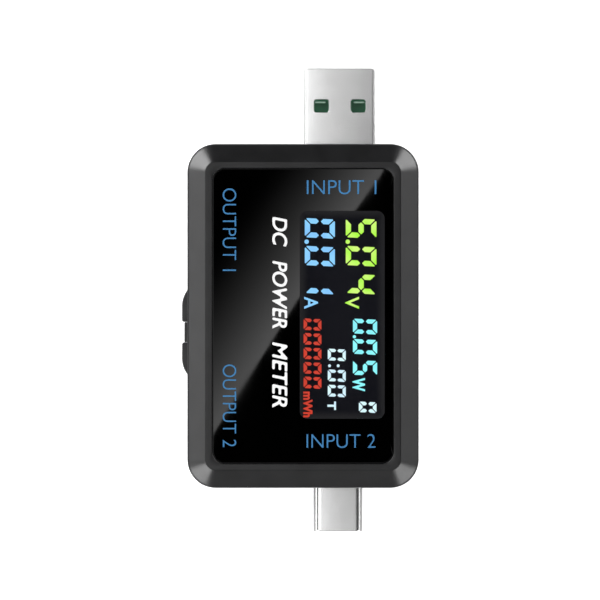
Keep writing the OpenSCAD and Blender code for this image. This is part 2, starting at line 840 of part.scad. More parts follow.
module usb_c_socket_shell() {
    leg_w = 0.9;
    color("#c8cacc") {
        along_x(socket_mouth_x, socket_mouth_x + c_socket_l)
            translate([socket_c_y, c_socket_z]) difference() {
                stadium(c_socket_w + 2 * c_socket_sheet, c_socket_h + 2 * c_socket_sheet);
                stadium(c_socket_w, c_socket_h);
            }
        for (x = c_socket_legs, s = [-1, 1])
            translate([socket_mouth_x + x - leg_w / 2,
                       socket_c_y + s * (c_socket_w + c_socket_sheet) / 2 - c_socket_sheet / 2,
                       board_bottom_pins])
                cube([leg_w, c_socket_sheet, c_socket_z - board_bottom_pins]);
    }
}

// Block at the back and the thin tongue, with a thicker collar at its root
module usb_c_socket_insulator() {
    rear_x = socket_mouth_x + c_socket_l;
    block_x = rear_x - c_socket_block;
    collar_l = 1.0;
    color("#17181a") union() {
        along_x(block_x, rear_x) translate([socket_c_y, c_socket_z])
            stadium(c_socket_w, c_socket_h);
        box([block_x - collar_l, socket_c_y - c_tongue_w / 2, c_socket_z - 0.6],
            [block_x + over, socket_c_y + c_tongue_w / 2, c_socket_z + 0.6]);
        box([socket_mouth_x + 1.0, socket_c_y - c_tongue_w / 2, c_socket_z - c_tongue_t / 2],
            [block_x + over, socket_c_y + c_tongue_w / 2, c_socket_z + c_tongue_t / 2]);
    }
}

// Contact strips on both faces of the tongue, and the solder feet behind the block
module usb_c_socket_contacts() {
    strip_t = 0.06;
    strip_x0 = socket_mouth_x + 1.3;
    strip_x1 = socket_mouth_x + c_socket_l - c_socket_block - 1.0;
    rear_x = socket_mouth_x + c_socket_l;
    color("#d7b46a") for (i = [0 : c_contacts - 1]) {
        low_y = socket_c_y + c_contact_place(i) - c_contact_w / 2;
        high_y = low_y + c_contact_w;
        for (side = [-1, 1]) {
            z = c_socket_z + side * (c_tongue_t + strip_t) / 2;
            box([strip_x0, low_y, z - strip_t / 2], [strip_x1, high_y, z + strip_t / 2]);
        }
        box([rear_x, low_y, board_top], [rear_x + 0.8, high_y, board_top + 0.15]);
        box([rear_x, low_y, board_top], [rear_x + 0.15, high_y, board_top + 0.9]);
    }
}

// ---------- keys and switches ----------

// Outline of a key's head seen from above: straight at its inner end, curved at its outer end.
// The outline's first axis runs along the case and its second out of the side face.
module key_outline(inside) {
    curve_run = sqrt(pow(key_curve_r, 2) - pow(key_curve_r - key_out, 2));
    flat_end = key_l - curve_run;
    translate([0, -inside]) square([key_l, inside]);
    difference() {
        union() {
            square([flat_end, key_out]);
            intersection() {
                square([key_l, key_out]);
                translate([flat_end, key_out - key_curve_r]) circle(key_curve_r);
            }
        }
        difference() {
            translate([-over, key_out - key_corner_r])
                square([key_corner_r + over, key_corner_r + over]);
            translate([key_corner_r, key_out - key_corner_r]) circle(key_corner_r);
        }
    }
}

// Key with its curved end towards dir, its hidden flange and the nub that pushes the switch
module push_key(dir) {
    inside = -half_w - flange_x;
    centre_y = keys_y + dir * (key_gap + key_l / 2);
    color("#333437") {
        translate([-half_w, keys_y + dir * key_gap, key_z - key_h / 2])
            multmatrix([[0, -1, 0, 0], [dir, 0, 0, 0], [0, 0, 1, 0]])
                linear_extrude(key_h) key_outline(-inside);
        box([flange_x, centre_y - key_l / 2 - flange_edge, key_z - key_h / 2 - flange_edge],
            [flange_x + flange_t, centre_y + key_l / 2 + flange_edge,
             key_z + key_h / 2 + flange_edge]);
        translate([flange_x + flange_t - over, centre_y, key_z]) rotate([0, 90, 0])
            cylinder(h = key_nub_end - flange_x - flange_t + over, r = 0.9);
    }
}

module upper_key() { push_key(1); }
module lower_key() { push_key(-1); }

// Moulded housing of a side-pushed switch
module switch_housing(y) {
    color("#1a1a1c") difference() {
        board_box([switch_x + switch_d / 2, y], [switch_d, switch_l, switch_h]);
        translate([switch_x - over, y, key_z]) rotate([0, 90, 0])
            cylinder(h = plunger_bore_d + over, r = plunger_bore_r);
    }
}

// Steel cover plate on the front of a switch
module switch_cover(y) {
    color("#b8babd") difference() {
        box([switch_x - cover_t, y - switch_l / 2 + 0.2, board_top],
            [switch_x, y + switch_l / 2 - 0.2, board_top + switch_h]);
        translate([switch_x - cover_t - over, y, key_z]) rotate([0, 90, 0])
            cylinder(h = cover_t + 2 * over, r = plunger_bore_r);
    }
}

// Plunger between a key's nub and the switch's dome
module switch_plunger(y) {
    color("#e8e8e4") translate([key_nub_end, y, key_z]) rotate([0, 90, 0])
        cylinder(h = plunger_end - key_nub_end, r = plunger_r);
}

// Snap dome at the bottom of the plunger's bore, drawn flat as when it is pushed
module switch_dome(y) {
    color("#c8cacc") translate([switch_x + plunger_bore_d - dome_t, y, key_z]) rotate([0, 90, 0])
        cylinder(h = dome_t, r = plunger_bore_r - 0.02);
}

module upper_switch_housing() { switch_housing(upper_key_y); }
module lower_switch_housing() { switch_housing(lower_key_y); }
module upper_switch_cover() { switch_cover(upper_key_y); }
module lower_switch_cover() { switch_cover(lower_key_y); }
module upper_switch_plunger() { switch_plunger(upper_key_y); }
module lower_switch_plunger() { switch_plunger(lower_key_y); }
module upper_switch_dome() { switch_dome(upper_key_y); }
module lower_switch_dome() { switch_dome(lower_key_y); }

back_shell();
front_shell();
case_screws();
display_window();
window_adhesive();
lcd_front_polariser();
lcd_top_glass();
lcd_bottom_glass();
lcd_rear_polariser();
lcd_pins();
backlight_diffuser();
light_guide();
backlight_reflector();
backlight_frame();
backlight_leds();
main_board();
microcontroller();
current_sense_amplifier();
memory_chip();
chip_leads();
voltage_regulator();
shunt_resistor();
crystal();
supply_inductor();
storage_capacitor();
ceramic_capacitors();
chip_resistors();
usb_a_plug_shell();
usb_a_plug_insulator();
usb_a_plug_contacts();
usb_c_plug_shell();
usb_c_plug_insulator();
usb_c_plug_contacts();
usb_c_plug_latches();
plug_board();
plug_board_spacer();
plug_board_pins();
usb_a_socket_shell();
usb_a_socket_insulator();
usb_a_socket_contacts();
usb_c_socket_shell();
usb_c_socket_insulator();
usb_c_socket_contacts();
upper_key();
lower_key();
upper_switch_housing();
lower_switch_housing();
upper_switch_cover();
lower_switch_cover();
upper_switch_plunger();
lower_switch_plunger();
upper_switch_dome();
lower_switch_dome();
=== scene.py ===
"""Studio model of a small in-line USB power meter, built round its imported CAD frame.

Shapes are drawn in millimetres in the CAD frame: +X is to the right of the display, +Y is towards
the USB-A plug and +Z is out of the display. They become metres when a piece is made.
"""

from math import asin, atan2, cos, degrees, pi, radians, sin, tan

import bmesh
import bpy
from mathutils import Matrix, Vector


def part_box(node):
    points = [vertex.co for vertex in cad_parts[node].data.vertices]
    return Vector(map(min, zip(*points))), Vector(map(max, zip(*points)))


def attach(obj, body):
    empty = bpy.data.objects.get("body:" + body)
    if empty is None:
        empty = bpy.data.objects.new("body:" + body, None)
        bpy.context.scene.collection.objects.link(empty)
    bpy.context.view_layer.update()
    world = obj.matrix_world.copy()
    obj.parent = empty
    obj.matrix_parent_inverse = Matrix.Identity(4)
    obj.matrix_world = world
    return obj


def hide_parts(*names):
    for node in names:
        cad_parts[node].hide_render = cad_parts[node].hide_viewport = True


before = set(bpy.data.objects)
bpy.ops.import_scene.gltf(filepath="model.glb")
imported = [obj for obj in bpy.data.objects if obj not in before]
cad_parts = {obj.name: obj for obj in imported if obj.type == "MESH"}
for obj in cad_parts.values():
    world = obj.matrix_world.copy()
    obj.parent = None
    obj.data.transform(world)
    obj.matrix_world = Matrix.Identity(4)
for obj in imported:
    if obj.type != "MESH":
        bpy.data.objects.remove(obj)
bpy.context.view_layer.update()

MM = 0.001


def span(node, axis):
    """Lowest and highest place of a CAD node along an axis, in millimetres."""
    low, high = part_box(node)
    return low[axis] / MM, high[axis] / MM


def middle(node, axis):
    """Middle of a CAD node along an axis, in millimetres."""
    return sum(span(node, axis)) / 2


# ---- sizes, in millimetres

# Case
CASE_W = 2 * span("front_shell", 0)[1]
CASE_L = 2 * span("front_shell", 1)[1]
CASE_T = span("front_shell", 2)[1]
HALF_W = CASE_W / 2
HALF_L = CASE_L / 2
CORNER_R = 4.8
BAND_W = 3.07               # sloping band round the panel
BAND_Z = CASE_T - 2.2
BACK_CHAMFER = 1.2
WALL = 1.6
SPLIT_Z = 6.5
SEAM = 0.1                  # chamfer along the joint of the shells
LIP_T = 0.7
LIP_H = 0.9
LIP_PLAY = 0.1
LIP_CHAMFER = 0.15
FLOOR_R = 0.4               # round between the side walls and the back, inside
DECK_T = 1.0
SCREW_X = 15.2
SCREW_Y = 24.8
HEAD_TOP = 1.5              # seat of the screw heads
RECESS_R, CLEARANCE_R = 2.1, 1.2
BOSS_R, PILOT_R, PILOT_END = 2.2, 1.0, 9.0
STANDOFF_R = 2.3
REST_R, REST_Y = 1.2, 12    # two rests under the middle of the board
SCREW_PLACES = [(sx * SCREW_X, sy * SCREW_Y) for sx in (-1, 1) for sy in (-1, 1)]
BOARD_Z, BOARD_TOP = 3.05, 4.25
PIN_END = 2.6               # height of the soldered ends under the board
LEG_JOIN = 0.8              # how far above the board the solder legs join their shells

# Display panel and window
PANEL_W = 2 * span("display_window", 0)[1]
PANEL_L = 2 * span("display_window", 1)[1]
PANEL_Z, PANEL_TOP = span("display_window", 2)
PANEL_R = 2.0
PANEL_PLAY = 0.1
DECK_TOP = span("window_adhesive", 2)[0]
DECK_Z = DECK_TOP - DECK_T
WINDOW_X, WINDOW_Y = 6.6, 0.2
WINDOW_W, WINDOW_L, WINDOW_R = 14.3, 35.0, 1.3
LCD_TOP = span("lcd_front_polariser", 2)[1]
DECK_HOLE_W, DECK_HOLE_L = 1.3, 1.4     # how much larger than the window the deck's hole is

# Plugs and sockets
A_PLUG_X, A_PLUG_Z = middle("usb_a_plug_shell", 0), SPLIT_Z
SHELL_SHEET = 0.3           # sheet of the USB-A plug and of both sockets
A_PLUG_W, A_PLUG_H = 12.0, 4.5
A_PLUG_ROOM, C_PLUG_ROOM, SOCKET_ROOM = 0.3, 0.2, 0.4   # how much wider each opening is
A_PLUG_REAR, A_PLUG_TIP = span("usb_a_plug_shell", 1)
A_WINDOW_X = 3.12           # latch windows, from the plug's centre line
A_WINDOW_Y = A_PLUG_TIP - 6.34
A_WINDOW_W, A_WINDOW_L = 2.5, 2.2
A_BLOCK_L = 6.5             # full-height part of the plug's insulator
A_TONGUE_GAP = 0.5          # from the end of the insulator to the plug's tip
A_LEDGE_IN = 0.5            # part of a latch window that the insulator's top still fills
A_CONTACTS_X = (-3.5, -1.0, 1.0, 3.5)
C_PLUG_X, C_PLUG_Z = middle("usb_c_plug_shell", 0), middle("usb_c_plug_shell", 2)
C_PLUG_W, C_PLUG_H, C_SHEET = 8.25, 2.4, 0.2
C_PLUG_TIP, C_PLUG_REAR = span("usb_c_plug_shell", 1)
SOCKET_MOUTH, A_SOCKET_REAR = span("usb_a_socket_shell", 0)
A_SOCKET_Y = middle("usb_a_socket_shell", 1)
A_SOCKET_W, A_SOCKET_H = 13.1, 5.72
A_SOCKET_Z = span("usb_a_socket_shell", 2)[1] - A_SOCKET_H / 2
C_SOCKET_Y = middle("usb_c_socket_shell", 1)
C_SOCKET_W, C_SOCKET_H = 8.94, 3.16
C_SOCKET_Z = span("usb_c_socket_shell", 2)[1] - C_SOCKET_H / 2
C_SOCKET_REAR = span("usb_c_socket_shell", 0)[1]

# Keys
KEYS_Y = -2.74
KEY_GAP = 1.73              # from the middle of the pair to each key
KEY_L, KEY_H, KEY_OUT = 5.42, 4.4, 0.93
KEY_CURVE_R, KEY_CORNER_R = 4.4, 0.35
KEY_PLAY = 0.12
FLANGE_EDGE, FLANGE_T = 0.5, 0.5
KEY_FLANGE_X = -HALF_W + WALL + 0.1
NUB_R = 0.9
RIB_OUT = -HALF_W - span("front_shell", 0)[0]
RIB_PLAY, RIB_EDGE = 0.04, 0.15
RIB_ROOT = 0.4              # how far the rib reaches into the wall
KEY_CENTRES = {"upper": KEYS_Y + KEY_GAP + KEY_L / 2, "lower": KEYS_Y - KEY_GAP - KEY_L / 2}

CORNER_STEPS = 16           # steps round each large corner
FINE_STEPS = 8              # steps round each small corner
OVER = 0.2                  # how far a cutting shape runs past a surface
MERGE = 1e-5                # points closer than this are one
SHARP_R = 0.001             # corner radius of a block without rounded edges
SHARP_ANGLE = 32.0          # edges that turn by more degrees than this stay sharp
NOISE_RANGE = (0.35, 0.65)  # values that a noise mostly keeps within


# ---- outlines

def arc(x, y, r, start, end, steps):
    """Points along an arc, both ends included. Angles are in degrees."""
    angles = [radians(start + (end - start) * i / steps) for i in range(steps + 1)]
    return [(x + r * cos(a), y + r * sin(a)) for a in angles]


def rounded_rect(w, l, r, x=0.0, y=0.0, steps=CORNER_STEPS):
    """Outline of a rectangle with round corners, anticlockwise."""
    points = []
    for sx, sy, start in ((1, 1, 0), (-1, 1, 90), (-1, -1, 180), (1, -1, 270)):
        points += arc(x + sx * (w / 2 - r), y + sy * (l / 2 - r), r, start, start + 90, steps)
    return points


def stadium(w, h, x=0.0, y=0.0, steps=CORNER_STEPS):
    """Outline with half-round ends, anticlockwise."""
    points = []
    for side, start in ((1, -90), (-1, 90)):
        points += arc(x + side * (w - h) / 2, y, h / 2, start, start + 180, 2 * steps)
    return points


def sheet_outline(w, h, r, crown):
    """Outline of a folded sheet box whose two flat sides swell by crown in their middle."""
    half, level = w / 2 - r, h / 2 - crown
    shares = [1 - i / 12 for i in range(1, 24)]
    swell = [(half * share, level + crown * (1 - share ** 2)) for share in shares]
    side = arc(-half, level - r, r, 90, 180, FINE_STEPS)
    side += arc(-half, r - level, r, 180, 270, FINE_STEPS)
    start, end = (arc(half, y, r, turn, turn + 90, FINE_STEPS)
                  for y, turn in ((level - r, 0), (r - level, 270)))
    return start + swell + side + [(-x, -y) for x, y in swell] + end


def rounded_path(corners, closed=True, steps=4):
    """Path through corners of (x, y, radius), each rounded by its radius."""
    points = []
    count = len(corners)
    for i, (x, y, r) in enumerate(corners):
        at = Vector((x, y))
        ends = not closed and i in (0, count - 1)
        if r <= 0 or ends:
            points.append((x, y))
            continue
        back = (Vector(corners[i - 1][:2]) - at).normalized()
        ahead = (Vector(corners[(i + 1) % count][:2]) - at).normalized()
        half = back.angle(ahead) / 2
        centre = at + (back + ahead).normalized() * (r / sin(half))
        first = at + back * (r / tan(half)) - centre
        turn = first.angle_signed(at + ahead * (r / tan(half)) - centre)
        for k in range(steps + 1):
            spoke = first.copy()
            spoke.rotate(Matrix.Rotation(-turn * k / steps, 2))
            points.append(tuple(centre + spoke))
    return points


def inset(outline, distance):
    """Outline with each side moved inwards, for anticlockwise outlines without tight hollows."""
    moved = []
    count = len(outline)
    for i in range(count):
        at = Vector(outline[i])
        back = at - Vector(outline[i - 1])
        ahead = Vector(outline[(i + 1) % count]) - at
        if back.length < 1e-9:
            back = at - Vector(outline[i - 2])
        if ahead.length < 1e-9:
            ahead = Vector(outline[(i + 2) % count]) - at
        normal = (back.normalized() + ahead.normalized()).orthogonal().normalized()
        share = max(0.3, normal.dot(back.normalized().orthogonal()))
        moved.append(tuple(at + normal * (distance / share)))
    return moved


# ---- solids

def ring(outline, z):
    """Outline lifted to a height."""
    return [(x, y, z) for x, y in outline]


def upright(outline, place, along):
    """Outline stood up at a place along an axis: in X and Z across Y, or in Y and Z across X."""
    return [(u, place, v) if along == "y" else (place, u, v) for u, v in outline]


def quarter(edge, steps=4):
    """Steps round an edge, from the side to the end face: how far inwards and how far back."""
    angles = [radians(90 * k / steps) for k in range(steps + 1)]
    return [(edge * (1 - cos(a)), edge * (1 - sin(a))) for a in angles]


def placed(name, data):
    """New object in the scene."""
    made = bpy.data.objects.new(name, data)
    bpy.context.scene.collection.objects.link(made)
    return made


def as_mesh(work):
    """New mesh from finished edit data."""
    mesh = bpy.data.meshes.new("shape")
    work.to_mesh(mesh)
    work.free()
    return mesh


def solid(vertices, faces):
    """Mesh with its doubled points merged and its faces turned outwards."""
    work = bmesh.new()
    points = [work.verts.new(v) for v in vertices]
    for face in faces:
        work.faces.new([points[i] for i in face])
    bmesh.ops.remove_doubles(work, verts=work.verts, dist=MERGE)
    bmesh.ops.recalc_face_normals(work, faces=work.faces)
    return as_mesh(work)


def loft(rings, joined=False):
    """Solid through rings of equal counts: capped at both ends, or joined from last to first."""
    count = len(rings[0])
    vertices = [v for one in rings for v in one]
    faces = []
    for k in range(len(rings) if joined else len(rings) - 1):
        here, there = k * count, (k + 1) % len(rings) * count
        for i in range(count):
            j = (i + 1) % count
            faces.append((here + i, here + j, there + j, there + i))
    if not joined:
        faces.append(tuple(range(count)))
        faces.append(tuple(range((len(rings) - 1) * count, len(rings) * count)))
    return solid(vertices, faces)


def slab(outline, z0, z1, low_edge=0.0, high_edge=0.0, steps=4):
    """Upright block over an outline, with its lower and upper edges rounded."""
    low = quarter(low_edge, steps)[::-1] if low_edge else [(0, 0)]
    high = quarter(high_edge, steps) if high_edge else [(0, 0)]
    rings = [ring(inset(outline, inwards), z0 + back) for inwards, back in low]
    rings += [ring(inset(outline, inwards), z1 - back) for inwards, back in high]
    return loft(rings)


def block(low, high, edge=0.0):
    """Box between two corners, with slightly rounded edges where edge is given."""
    w, l = high[0] - low[0], high[1] - low[1]
    x, y = (low[0] + high[0]) / 2, (low[1] + high[1]) / 2
    outline = rounded_rect(w, l, max(edge, SHARP_R), x, y, steps=2 if edge else 1)
    return slab(outline, low[2], high[2], edge, edge, steps=2)


def bar(x, y, half_w, half_l, z0, z1, edge=0.0):
    """Box about an upright centre line."""
    return block((x - half_w, y - half_l, z0), (x + half_w, y + half_l, z1), edge)


def turned(profile, x=0.0, y=0.0, steps=48):
    """Solid of revolution about an upright axis, from a path of (radius, height)."""
    around = arc(0, 0, 1, 0, 360, steps)[:-1]
    rings = [[(x + r * c, y + r * s, z) for c, s in around] for r, z in profile]
    return loft(rings)


def tube(sections, along, centre):
    """Sheet-metal tube: sections of (outline, place) along an axis, in a closed loop."""
    across, z = centre
    rings = [upright([(across + u, z + v) for u, v in outline], place, along)
             for outline, place in sections]
    return loft(rings, joined=True)


def wall_cut(outline, along, sign, flare=0.12):
    """Cutting shape for an opening through the wall at one end of an axis, flared at its face."""
    face = sign * (HALF_L if along == "y" else HALF_W)
    inner = face - sign * (WALL + LIP_T + OVER)
    stages = ((inner, 0), (face - sign * flare, 0), (face + sign * OVER, flare + OVER))
    return loft([upright(inset(outline, -grow), place, along) for place, grow in stages])


def combine(shape, tools, operation="DIFFERENCE"):
    """Shape with each tool cut away from it or added to it."""
    holders = [placed("holder", mesh) for mesh in [shape] + tools]
    for other in holders[1:]:
        modifier = holders[0].modifiers.new("cut", "BOOLEAN")
        modifier.operation = operation
        modifier.solver = "EXACT"
        modifier.object = other
    depsgraph = bpy.context.evaluated_depsgraph_get()
    result = bpy.data.meshes.new_from_object(holders[0].evaluated_get(depsgraph))
    result.materials.clear()
    for holder in holders:
        mesh = holder.data
        bpy.data.objects.remove(holder)
        bpy.data.meshes.remove(mesh)
    return result


def gather(shapes):
    """Several separate solids as one mesh."""
    work = bmesh.new()
    for mesh in shapes:
        work.from_mesh(mesh)
        bpy.data.meshes.remove(mesh)
    return as_mesh(work)


def piece(name, shape, slot, nodes=(), body="case", material=None):
    """Finished piece that rides on a body, with its slot's finish where no other is given."""
    work = bmesh.new()
    work.from_mesh(shape)
    bmesh.ops.remove_doubles(work, verts=work.verts, dist=MERGE)
    bmesh.ops.dissolve_degenerate(work, edges=work.edges, dist=MERGE)
    bmesh.ops.recalc_face_normals(work, faces=work.faces)
    work.to_mesh(shape)
    work.free()
    shape.name = name
    shape.transform(Matrix.Scale(MM, 4))
    shape.polygons.foreach_set("use_smooth", [True] * len(shape.polygons))
    shape.set_sharp_from_angle(angle=radians(SHARP_ANGLE))
    shape.materials.append(material or FINISH[slot])
    made = placed(name, shape)
    made.modifiers.new("even shading", "WEIGHTED_NORMAL").keep_sharp = True
    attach(made, body)
    if nodes:
        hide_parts(*nodes)
    return made


# ---- finishes

def feed(look, node, inputs):
    """Set inputs of a shader node, by name or number, to a plain value, to an output that feeds
    them, or to another node's first output."""
    for name, value in inputs.items():
        if isinstance(value, bpy.types.Node):
            value = value.outputs[0]
        if isinstance(value, bpy.types.NodeSocket):
            look.node_tree.links.new(value, node.inputs[name])
        else:
            node.inputs[name].default_value = value


def add(look, kind, inputs=None, **settings):
    """New shader node with its settings and inputs."""
    node = look.node_tree.nodes.new("ShaderNode" + kind)
    for name, value in settings.items():
        setattr(node, name, value)
    feed(look, node, inputs or {})
    return node


def shade(look, inputs):
    """Set inputs of a look's main shader."""
    feed(look, look.node_tree.nodes["Principled BSDF"], inputs)


def finish_of(name, colour, roughness, metallic=0.0, **sockets):
    """New material with its plain values set on the shader. Colour is linear."""
    look = bpy.data.materials.new(name)
    look.use_nodes = True
    shade(look, {"Base Color": (*colour, 1), "Roughness": roughness, "Metallic": metallic})
    shade(look, {socket.replace("_", " "): value for socket, value in sockets.items()})
    return look


def unlit_material(name):
    """New material that has no shader yet."""
    look = bpy.data.materials.new(name)
    look.use_nodes = True
    look.node_tree.nodes.remove(look.node_tree.nodes["Principled BSDF"])
    return look


def show(look, shader):
    """Make a shader the one that the surface shows."""
    feed(look, look.node_tree.nodes["Material Output"], {"Surface": shader})


def own_space(look):
    """Places in the piece's own space."""
    return add(look, "TexCoord").outputs["Object"]


def noise(look, cell, detail=2.0, stretch=(1, 1, 1)):
    """Noise in the piece's own space, with features about cell millimetres across."""
    mapping = add(look, "Mapping", {"Vector": own_space(look),
                                    "Scale": [1 / (cell * MM * s) for s in stretch]})
    return add(look, "TexNoise", {"Vector": mapping, "Scale": 1.0, "Detail": detail})


def ramp(look, source, low, high, inside=(0.0, 1.0)):
    """Colour that runs from low to high with a pattern."""
    node = add(look, "ValToRGB", {"Fac": source})
    for stop, place, colour in zip(node.color_ramp.elements, inside, (low, high)):
        stop.position = place
        stop.color = (*colour, 1)
    return node


def tint(colour, share):
    """Colour made lighter or darker by a share."""
    return [c * share for c in colour]


def vary_colour(look, source, low, high):
    """Base colour that runs from low to high with a noise."""
    shade(look, {"Base Color": ramp(look, source, low, high, NOISE_RANGE)})


def vary_roughness(look, source, low, high):
    """Roughness that runs from low to high with a noise."""
    shade(look, {"Roughness": add(look, "MapRange", {
        "Value": source, "From Min": NOISE_RANGE[0], "From Max": NOISE_RANGE[1],
        "To Min": low, "To Max": high})})


def bump(look, source, depth):
    """Bump of a depth in millimetres."""
    return add(look, "Bump", {"Height": source, "Distance": depth * MM})


def emboss(look, source, depth):
    """Bump of a depth in millimetres on the main shader."""
    shade(look, {"Normal": bump(look, source, depth)})


def moulded(name, colour, roughness, grain=0.22, depth=0.006, spread=0.25):
    """Moulded plastic with a fine spark-eroded grain and a slightly uneven sheen."""
    play = 0.012
    look = finish_of(name, colour, roughness)
    vary_colour(look, noise(look, 4.0), tint(colour, 1 - spread), tint(colour, 1 + spread))
    vary_roughness(look, noise(look, 1.5), roughness - play, roughness + play)
    emboss(look, noise(look, grain, detail=3.0), depth)
    return look


def sheet_metal(name, colour, roughness, depth=0.0006):
    """Rolled and plated sheet with faint lines along its Y axis."""
    play = 0.01
    grain = (0.08, 2.5, 0.08)
    look = finish_of(name, colour, roughness, metallic=1.0)
    lines = noise(look, 1.0, detail=3.0, stretch=grain)
    vary_colour(look, noise(look, 3.0), tint(colour, 0.95), colour)
    vary_roughness(look, lines, roughness - play, roughness + play)
    emboss(look, lines, depth)
    return look


def circuit_mask(name):
    """Solder mask over copper traces, which show as a fine grid of tracks."""
    cell = 1.6
    look = finish_of(name, (0.02, 0.12, 0.05), 0.35)
    tracks = add(look, "TexBrick", {
        "Vector": own_space(look), "Scale": 1 / (cell * MM), "Mortar Size": 0.08,
        "Color1": (0.016, 0.10, 0.04, 1), "Color2": (0.02, 0.13, 0.055, 1),
        "Mortar": (0.06, 0.26, 0.10, 1)})
    shade(look, {"Base Color": tracks.outputs["Color"]})
    emboss(look, tracks.outputs["Fac"], 0.02)
    return look


def lit(name, colour, core=None):
    """Glowing display segment: emission that is a little lighter in places, as a film varies."""
    look = finish_of(name, (0.0, 0.0, 0.0), 0.6)
    lighter = core or [min(1, c * 1.12) for c in colour]
    glow = ramp(look, noise(look, 2.5, detail=1.0), colour, lighter, (0.38, 0.62))
    shade(look, {"Emission Color": glow, "Emission Strength": 1.0})
    return look


def ink(name, colour):
    """Screen-printed ink: matt, faintly mottled."""
    look = finish_of(name, colour, 0.55)
    vary_colour(look, noise(look, 0.6), tint(colour, 0.93), colour)
    emboss(look, noise(look, 0.12), 0.002)
    return look


def clear_lens(name):
    """Coated acrylic: it shows what is behind it and mirrors softly at a slant."""
    look = unlit_material(name)
    etched = bump(look, noise(look, 0.1), 0.002)
    gloss = add(look, "BsdfGlossy", {"Roughness": 0.2, "Normal": etched})
    slant = add(look, "LayerWeight", {"Blend": 0.05}).outputs["Facing"]
    show(look, add(look, "MixShader",
                   {"Fac": slant, 1: add(look, "BsdfTransparent"), 2: gloss}))
    return look


def clear_solid(name, colour, roughness):
    """Clear glass or acrylic with a faintly uneven surface."""
    look = finish_of(name, colour, roughness, Transmission_Weight=1.0, IOR=1.5)
    emboss(look, noise(look, 2.0), 0.004)
    vary_roughness(look, noise(look, 1.0), roughness, roughness + 0.03)
    return look


def screen_film(name):
    """Dark polariser of a lit display: black, with backlight creeping in along its borders."""
    creep_w = 1.6
    look = finish_of(name, (0.002, 0.002, 0.003), 0.6, Specular_IOR_Level=0.1)
    axes = add(look, "SeparateXYZ", {"Vector": own_space(look)})
    near_edges = []
    for axis, centre, size in (("X", WINDOW_X, WINDOW_W), ("Y", WINDOW_Y, WINDOW_L)):
        off = add(look, "Math", {0: axes.outputs[axis], 1: centre * MM}, operation="SUBTRACT")
        away = add(look, "Math", {0: off}, operation="ABSOLUTE")
        near_edges.append(add(look, "MapRange", {
            "Value": away, "From Min": (size / 2 - creep_w) * MM, "From Max": size / 2 * MM},
            interpolation_type="SMOOTHSTEP"))
    creep = add(look, "Math", dict(enumerate(near_edges)), operation="MAXIMUM")
    glow = ramp(look, creep, (0.002, 0.0022, 0.0042), (0.015, 0.015, 0.016))
    shade(look, {"Emission Color": glow, "Emission Strength": 1.0})
    emboss(look, noise(look, 0.3), 0.002)
    return look


def polished_panel(name):
    """Black back-printed acrylic with a hard mirror gloss that varies faintly."""
    look = finish_of(name, (0.0006, 0.0006, 0.0007), 0.02)
    vary_roughness(look, noise(look, 5.0, stretch=(1, 6, 1)), 0.015, 0.03)
    return look


FINISH = {
    "case_plastic": moulded("case plastic", (0.006, 0.006, 0.0065), 0.3, depth=0.0018),
    "key_plastic": moulded("key plastic", (0.014, 0.014, 0.015), 0.4, grain=0.15, depth=0.004),
    "panel_gloss": polished_panel("panel gloss"),
    "adhesive": moulded("adhesive", (0.66, 0.63, 0.52), 0.7, grain=0.4, depth=0.01, spread=0.08),
    "polariser_film": moulded("polariser film", (0.02, 0.02, 0.025), 0.2, grain=0.5, depth=0.001),
    "display_glass": clear_solid("display glass", (0.9, 0.96, 0.97), 0.02),
    "white_film": moulded("white film", (0.82, 0.82, 0.80), 0.6, depth=0.003, spread=0.04),
    "guide_acrylic": clear_solid("guide acrylic", (0.95, 0.98, 0.99), 0.05),
    "led_resin": moulded("led resin", (0.85, 0.76, 0.30), 0.25, depth=0.002, spread=0.1),
    "circuit_board": circuit_mask("circuit board"),
    "chip_plastic": moulded("chip plastic", (0.014, 0.014, 0.015), 0.5, grain=0.1),
    "chip_ceramic": moulded("chip ceramic", (0.33, 0.22, 0.12), 0.55, grain=0.12, spread=0.15),
    "tinned_metal": sheet_metal("tinned metal", (0.68, 0.69, 0.70), 0.3),
    "plug_steel": sheet_metal("plug steel", (0.95, 0.95, 0.95), 0.24, depth=0.0001),
    "contact_gold": sheet_metal("contact gold", (0.83, 0.58, 0.22), 0.25),
    "insulator_green": moulded("insulator green", (0.008, 0.085, 0.036), 0.5, grain=0.3, depth=0.003),
    "insulator_black": moulded("insulator black", (0.012, 0.012, 0.013), 0.4, grain=0.3),
    "screw_steel": sheet_metal("screw steel", (0.42, 0.43, 0.45), 0.3),
    "plunger_plastic": moulded("plunger plastic", (0.62, 0.62, 0.58), 0.4, spread=0.05),
}
SCREEN = screen_film("lit screen")
LENS = clear_lens("coated lens")
# The pale green of the ledges under the latch windows is a painted highlight; the insulator itself is
# dark green.
LEDGE_PAINTED_HIGHLIGHT = moulded("ledge painted highlight", (0.30, 0.46, 0.36), 0.3, grain=0.3, depth=0.002, spread=0.06)
INK_BLUE = ink("blue ink", (0.028, 0.17, 0.38))
INK_WHITE = ink("white ink", (0.86, 0.86, 0.86))
GLOW = {
    "lime": lit("lime segments", (0.40, 0.93, 0.045), core=(0.62, 0.95, 0.18)),
    "blue": lit("blue segments", (0.23, 0.57, 0.97)),
    "red": lit("red segments", (0.57, 0.038, 0.016)),
    "white": lit("white segments", (0.64, 0.86, 0.98)),
    "cyan": lit("cyan segments", (0.24, 0.87, 0.94)),
}


# ---- case

def case_ring(inwards, z):
    """Ring round the case, a distance inside its side walls."""
    outline = rounded_rect(CASE_W - 2 * inwards, CASE_L - 2 * inwards, CORNER_R - inwards)
    return ring(outline, z)


